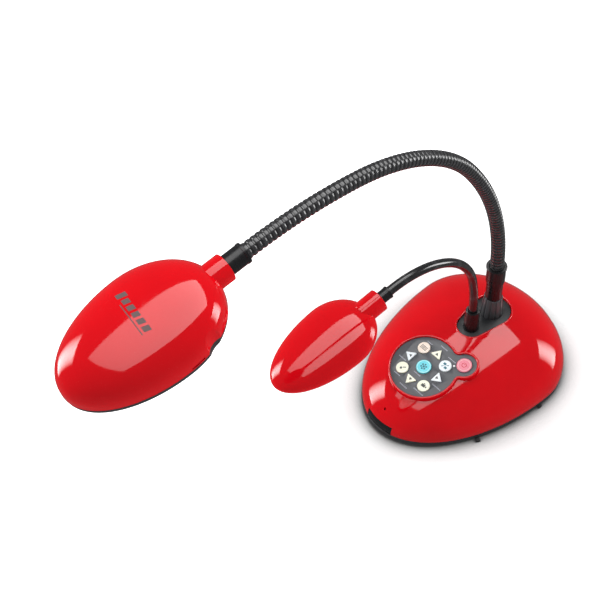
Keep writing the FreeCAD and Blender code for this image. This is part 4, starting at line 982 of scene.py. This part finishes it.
def neck_roots():
    """The plate on the cover and the sleeves that the necks stand in."""
    plate = rounded(copy_of("neck_plate", "plate"), 0.4 * MM, 3, 50)
    show(smooth(plate), PLATE_BLACK, "plate_black", "base", "neck_plate")
    cone = rounded(copy_of("main_neck_socket", "fluted_socket"), 0.25 * MM, 2, 50)
    show(smooth(cone), SOCKET_GREY, "socket_grey", "base", "main_neck_socket")
    low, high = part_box("main_neck_sleeve")
    tall = high.z - low.z
    sleeve = turned("main_sleeve", [
        (8.0 * MM, 0), (8.3 * MM, 0.3 * MM), (8.3 * MM, 24 * MM), (9.4 * MM, 25 * MM), (9.4 * MM, tall - 2.2 * MM),
        (10.2 * MM, tall - 1.8 * MM), (10.2 * MM, tall - 0.4 * MM), (9.8 * MM, tall), (7.5 * MM, tall),
        (7.2 * MM, tall - 0.3 * MM), (7.2 * MM, tall - 26 * MM)])
    middle = (low + high) / 2
    placed(sleeve, Matrix.Translation((middle.x, middle.y, low.z)))
    show(smooth(sleeve, 30), SLEEVE_BLACK, "plate_black", "base", "main_neck_sleeve")
    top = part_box("lamp_neck_sleeve")[1].z
    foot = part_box("neck_plate")[1].z
    tall = top - foot
    sleeve = turned("lamp_sleeve", [
        (4.0 * MM, -11 * MM), (4.0 * MM, 0), (8.0 * MM, 0), (8.0 * MM, 1.2 * MM), (7.7 * MM, 1.8 * MM),
        (6.9 * MM, tall - 0.6 * MM), (6.5 * MM, tall), (4.9 * MM, tall), (4.6 * MM, tall - 0.3 * MM),
        (4.6 * MM, tall - 12 * MM)])
    middle = sum(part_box("lamp_neck_sleeve"), Vector()) / 2
    placed(sleeve, Matrix.Translation((middle.x, middle.y, foot)))
    show(smooth(sleeve, 30), SLEEVE_BLACK, "plate_black", "base", "lamp_neck_sleeve")


def ferrules():
    """End pieces of the necks: a raised ring at the neck's side, a plain barrel and the pivot."""
    barrel = turned("main_ferrule_barrel", in_mm([
        (7.1, 0), (9.0, 0), (9.3, 0.3), (9.3, 2.6), (8.9, 2.9), (8.9, 17.6), (8.5, 18), (5.2, 18), (5.2, 29),
        (3.0, 29), (3.0, 1)]), 72)
    placed(barrel, neck_end_frame("head_swivel", MAIN_FERRULE))
    show(smooth(barrel, 30), SLEEVE_BLACK, "neck_black", JOINTS["head_swivel"]["parent"], "main_ferrule")
    barrel = turned("lamp_ferrule_barrel", in_mm([
        (4.5, 0), (5.8, 0), (6.1, 0.3), (6.1, 2), (5.8, 2.2), (5.8, 10.7), (5.5, 11), (3.6, 11), (3.6, 20),
        (1.8, 20), (1.8, 1)]), 64)
    placed(barrel, neck_end_frame("lamp_swivel", LAMP_FERRULE))
    show(smooth(barrel, 30), SLEEVE_BLACK, "neck_black", JOINTS["lamp_swivel"]["parent"], "lamp_ferrule")


# ---- heads ----

HEAD_HALF, HEAD_FRONT, HEAD_TOP, HEAD_SPLIT, HEAD_WALL = 49.5 * MM, 84.4 * MM, 30 * MM, 3.5 * MM, 2.2 * MM
LAMP_HALF, LAMP_FRONT, LAMP_TOP, LAMP_CUT, LAMP_WALL = 34 * MM, 71.8 * MM, 17 * MM, 8.5 * MM, 2 * MM
HEAD_CROWN = 2.5
COLLAR_SEAT, BORE_LENGTH = 10 * MM, 40 * MM
HEAD_COLLAR_RADIUS, HEAD_BORE = 12.1 * MM, 5.5 * MM
LAMP_COLLAR_RADIUS, LAMP_BORE = 10.8 * MM, 3.9 * MM
SCALLOP_RADIUS, SCALLOP_X, SCALLOP_Y = 15.2 * MM, 56.5 * MM, 30 * MM


def along_head(piece, y, z):
    """Lay a turned piece along +Y of a head, from y at height z."""
    return placed(piece, Matrix.Translation((0, y, z)) @ turned_about("X", -90))


def collar(name, radius, length, seat, bore):
    """A red collar with softened edges and a bore for the pivot."""
    return turned(name, [(radius - 0.6 * MM, 0), (radius, 0.6 * MM), (radius, seat + length - 0.7 * MM),
                         (radius - 0.2 * MM, seat + length - 0.25 * MM), (radius - 0.7 * MM, seat + length),
                         (bore, seat + length), (bore, 0.5 * MM)], 96)


def scallop_tool(extra):
    """A cylinder that cuts the round notch in the head's right side."""
    tool = turned("scallop", [(SCALLOP_RADIUS + extra, -30 * MM), (SCALLOP_RADIUS + extra, 60 * MM)], 96)
    return placed(tool, Matrix.Translation((SCALLOP_X, SCALLOP_Y, 0)))


def camera_head():
    shell = egg("head_cover", HEAD_HALF, HEAD_FRONT, HEAD_REAR, HEAD_TOP, skirt=HEAD_SPLIT, crown=HEAD_CROWN,
                **FINE)
    ring_piece = collar("collar", HEAD_COLLAR_RADIUS, HEAD_COLLAR, COLLAR_SEAT, HEAD_BORE)
    boolean(shell, along_head(ring_piece, HEAD_REAR - COLLAR_SEAT, HEAD_DROP), "UNION")
    boolean(shell, scallop_tool(0))
    hollow = egg("hollow", HEAD_HALF - HEAD_WALL, HEAD_FRONT - HEAD_WALL, HEAD_REAR - HEAD_WALL,
                 HEAD_TOP - HEAD_WALL, skirt=HEAD_SPLIT + 1 * MM, crown=HEAD_CROWN, **COARSE)
    boolean(hollow, scallop_tool(HEAD_WALL))
    boolean(shell, hollow)
    bore = turned("bore", [(HEAD_BORE, 0), (HEAD_BORE, BORE_LENGTH)], 48)
    boolean(shell, along_head(bore, HEAD_REAR - COLLAR_SEAT - HEAD_WALL, HEAD_DROP))
    slot_low, slot_high = (34 * MM, 0.5 * MM, -2.5 * MM), (60 * MM, 13.5 * MM, -0.7 * MM)
    boolean(shell, block("slot", slot_low, slot_high))
    decal = head_mark(shell)
    show(placed(smooth(shell, 32), HEAD), RED, "gloss_red", "camera_head", "head_shell")
    show(placed(decal, HEAD), INK_GREY, "gloss_red", "camera_head")


def head_mark(shell):
    """A plain printed sign across the top: a row of slanted strokes over a thin line."""
    start, end = Vector((-25.0, -8.9)) * MM, Vector((19.5, -12.8)) * MM
    along = (end - start).normalized()
    aside = Vector((-along.y, along.x))
    heading = math.degrees(math.atan2(along.y, along.x))
    strokes = []
    count = 6
    for i in range(count):
        centre = start + (end - start) * (i + 0.5) / count + aside * 3.6 * MM
        strokes.append((centre, 5.0 * MM, 5.8 * MM if i else 8.4 * MM, heading))
    middle = (start + end) / 2 - aside * 1.6 * MM
    strokes.append((middle + along * 5 * MM, 33 * MM, 0.8 * MM, heading))
    pieces = []
    for centre, wide, tall, angle in strokes:
        bpy.ops.object.select_all(action="DESELECT")
        cells = max(2, round(wide / (1 * MM)))
        rows = max(1, round(tall / (1 * MM)))
        bpy.ops.mesh.primitive_grid_add(x_subdivisions=cells, y_subdivisions=rows, size=1)
        stroke = fresh("stroke")
        for vertex in stroke.data.vertices:
            lean = 0.25 * vertex.co.y * tall
            vertex.co = (vertex.co.x * wide + lean, vertex.co.y * tall, 0)
        placed(stroke, Matrix.Translation((*centre, 40 * MM)) @ turned_about("Z", angle))
        pieces.append(stroke)
    decal = joined("head_sign", pieces)
    modifier(decal, "SHRINKWRAP", target=shell, wrap_method="PROJECT", use_project_z=True,
             use_negative_direction=True, use_positive_direction=False, offset=0.05 * MM)
    modifier(decal, "SOLIDIFY", thickness=0.1 * MM, offset=-1.0)
    return outward(decal)


def head_underside():
    tray = rounded(copy_of("head_bottom", "head_tray"), 0.4 * MM, 2, 55)
    show(smooth(tray), TUB_BLACK, "base_black", "camera_head", "head_bottom")
    barrel = rounded(copy_of("lens_barrel", "lens_ring"), 0.3 * MM, 3, 50)
    show(smooth(barrel), SLEEVE_BLACK, "base_black", "camera_head", "lens_barrel")
    lens = rounded(copy_of("lens_glass", "lens"), 0.3 * MM, 3, 50)
    show(smooth(lens), GLASS, "lens_glass", "camera_head", "lens_glass")


def lamp_egg(name, inset, **mesh):
    return egg(name, LAMP_HALF - inset, LAMP_FRONT - inset, LAMP_REAR - inset, LAMP_TOP - inset,
               bottom=-0.999 * (LAMP_TOP - inset), **mesh)


def lamp_head():
    shell = lamp_egg("lamp_cover", 0, segments=224, rings=160)
    ring_piece = collar("collar", LAMP_COLLAR_RADIUS, LAMP_COLLAR, COLLAR_SEAT, LAMP_BORE)
    boolean(shell, along_head(ring_piece, LAMP_REAR - COLLAR_SEAT, LAMP_DROP), "UNION")
    boolean(shell, lamp_egg("hollow", LAMP_WALL, segments=96, rings=64))
    boolean(shell, block("below", (-0.1, -0.2, -0.1), (0.1, 0.2, -LAMP_CUT)))
    bore = turned("bore", [(LAMP_BORE, 0), (LAMP_BORE, BORE_LENGTH)], 48)
    boolean(shell, along_head(bore, LAMP_REAR - COLLAR_SEAT - LAMP_WALL, LAMP_DROP))
    show(placed(smooth(shell, 32), LAMP), RED, "gloss_red", "lamp_head", "lamp_shell")
    diffuser = rounded(copy_of("lamp_diffuser", "diffuser_window"), 0.3 * MM, 2, 50)
    show(smooth(diffuser), DIFFUSER, "light_white", "lamp_head", "lamp_diffuser")


# ---- CAD nodes whose shape is right ----

KEPT_NODES = {"ballast_plate": STEEL, "base_screws": ZINC, "head_screws": ZINC, "board_screws": ZINC,
              "neck_nuts": ZINC, "microphone": TUB_BLACK, "main_board": BOARD, "key_board": BOARD,
              "camera_board": BOARD, "led_board": BOARD, "key_mat": RUBBER, "image_sensor": WINDOW_BLACK,
              "leds": LED, "rear_panel": TUB_BLACK, "power_inlet": SLEEVE_BLACK, "video_socket": CONNECTOR,
              "data_socket": CONNECTOR}


def finish_kept_nodes():
    for name, material in KEPT_NODES.items():
        node = frame["nodes"][name]
        if not node.material_slots:
            node.data.materials.append(material)
        for held in node.material_slots:
            held.material = material


# ---- floor, light and camera ----


def stage():
    """A pale floor that glows less near the object, with a painted contact shadow where the base touches it, and a
    dim white sky.
    """
    bpy.ops.object.select_all(action="DESELECT")
    bpy.ops.mesh.primitive_plane_add(size=12, location=(0, 0, 0))
    floor = fresh("floor")
    floor.visible_glossy = False
    material, tree, surface, place = new_material("pale_floor", Roughness=0.95, Specular_IOR_Level=0.0)
    surface.inputs["Emission Color"].default_value = (1, 1, 1, 1)
    reach = put(tree, "ShaderNodeVectorMath", {0: place}, operation="LENGTH")
    glow = ramp(tree, reach.outputs["Value"], 0.13, 0.26, 0.35, 0.9)
    # Painted contact shadow: ambient occlusion darkens the floor's colour and its glow near the base.
    painted_contact_shadow = put(tree, "ShaderNodeAmbientOcclusion", {"Distance": 0.06}, samples=8)
    shade = ramp(tree, painted_contact_shadow.outputs["AO"], 0.45, 0.97, 0.08, 1.0)
    tree.links.new(arithmetic(tree, "MULTIPLY", glow, shade), surface.inputs["Emission Strength"])
    tree.links.new(dimmed(tree, (0.9, 0.9, 0.9), shade), surface.inputs["Base Color"])
    floor.data.materials.append(material)
    world = bpy.data.worlds.new("studio")
    world.use_nodes = True
    sky = world.node_tree.nodes["Background"]
    sky.inputs["Color"].default_value = (1, 1, 1, 1)
    sky.inputs["Strength"].default_value = 0.16
    bpy.context.scene.world = world
    bpy.context.scene.view_settings.view_transform = "Standard"


def softbox(name, spot, aim, wide, tall, power, fade=(1.0, 1.0), soft=False):
    """A rectangular light; fade is its brightness at its lower and upper end, soft dims its sides."""
    data = bpy.data.lights.new(name, "AREA")
    data.shape = "RECTANGLE"
    data.size, data.size_y, data.energy = wide, tall, power
    light = bpy.data.objects.new(name, data)
    bpy.context.scene.collection.objects.link(light)
    heading = Vector(aim) - Vector(spot)
    light.matrix_world = Matrix.Translation(spot) @ heading.to_track_quat("-Z", "Y").to_matrix().to_4x4()
    data.use_nodes = True
    tree = data.node_tree
    across = put(tree, "ShaderNodeNewGeometry").outputs["Parametric"]
    split = put(tree, "ShaderNodeSeparateXYZ", {"Vector": across})
    shade = ramp(tree, split.outputs["Y"], 0.0, 1.0, *fade)
    if soft:
        bell = arithmetic(tree, "SINE", arithmetic(tree, "MULTIPLY", split.outputs["X"], math.pi))
        shade = arithmetic(tree, "MULTIPLY", bell, shade)
    tree.links.new(shade, tree.nodes["Emission"].inputs["Strength"])


def camera():
    """A camera above the user's right, with a small roll."""
    azimuth, elevation, roll = math.radians(50.96), math.radians(52.17), math.radians(-2.6)
    back = Vector((math.sin(azimuth) * math.cos(elevation), -math.cos(azimuth) * math.cos(elevation),
                   math.sin(elevation)))
    right = Vector((math.cos(azimuth), math.sin(azimuth), 0))
    up = back.cross(right)
    rolled_right = right * math.cos(roll) + up * math.sin(roll)
    rolled_up = back.cross(rolled_right)
    data = bpy.data.cameras.new("camera")
    data.lens, data.sensor_width, data.clip_start, data.clip_end = 91.67, 36, 0.01, 50
    item = bpy.data.objects.new("camera", data)
    turn = Matrix((rolled_right, rolled_up, back)).transposed().to_4x4()
    item.matrix_world = Matrix.Translation((0.5938, -0.6929, 1.2740)) @ turn
    bpy.context.scene.collection.objects.link(item)
    bpy.context.scene.camera = item


camera()
stage()
softbox("overhead_box", (-0.17, -0.05, 1.5), (-0.17, -0.05, 0), 1.16, 1.9, 20, (0.7, 1.5))
softbox("left_strip", (-1.6, -1.2, 0.62), (0, -0.1, 0.15), 0.8, 1.5, 40, soft=True)
softbox("right_strip", (1.0, 1.75, 0.55), (0, -0.1, 0.15), 0.9, 1.4, 34, soft=True)
base_cover()
rear_wall()
front_window()
tub_and_feet()
film()
keys()
arrow_key_marks()
round_key_marks()
centre_and_power_marks()
film_print()
neck_roots()
necks()
ferrules()
camera_head()
head_underside()
lamp_head()
finish_kept_nodes()
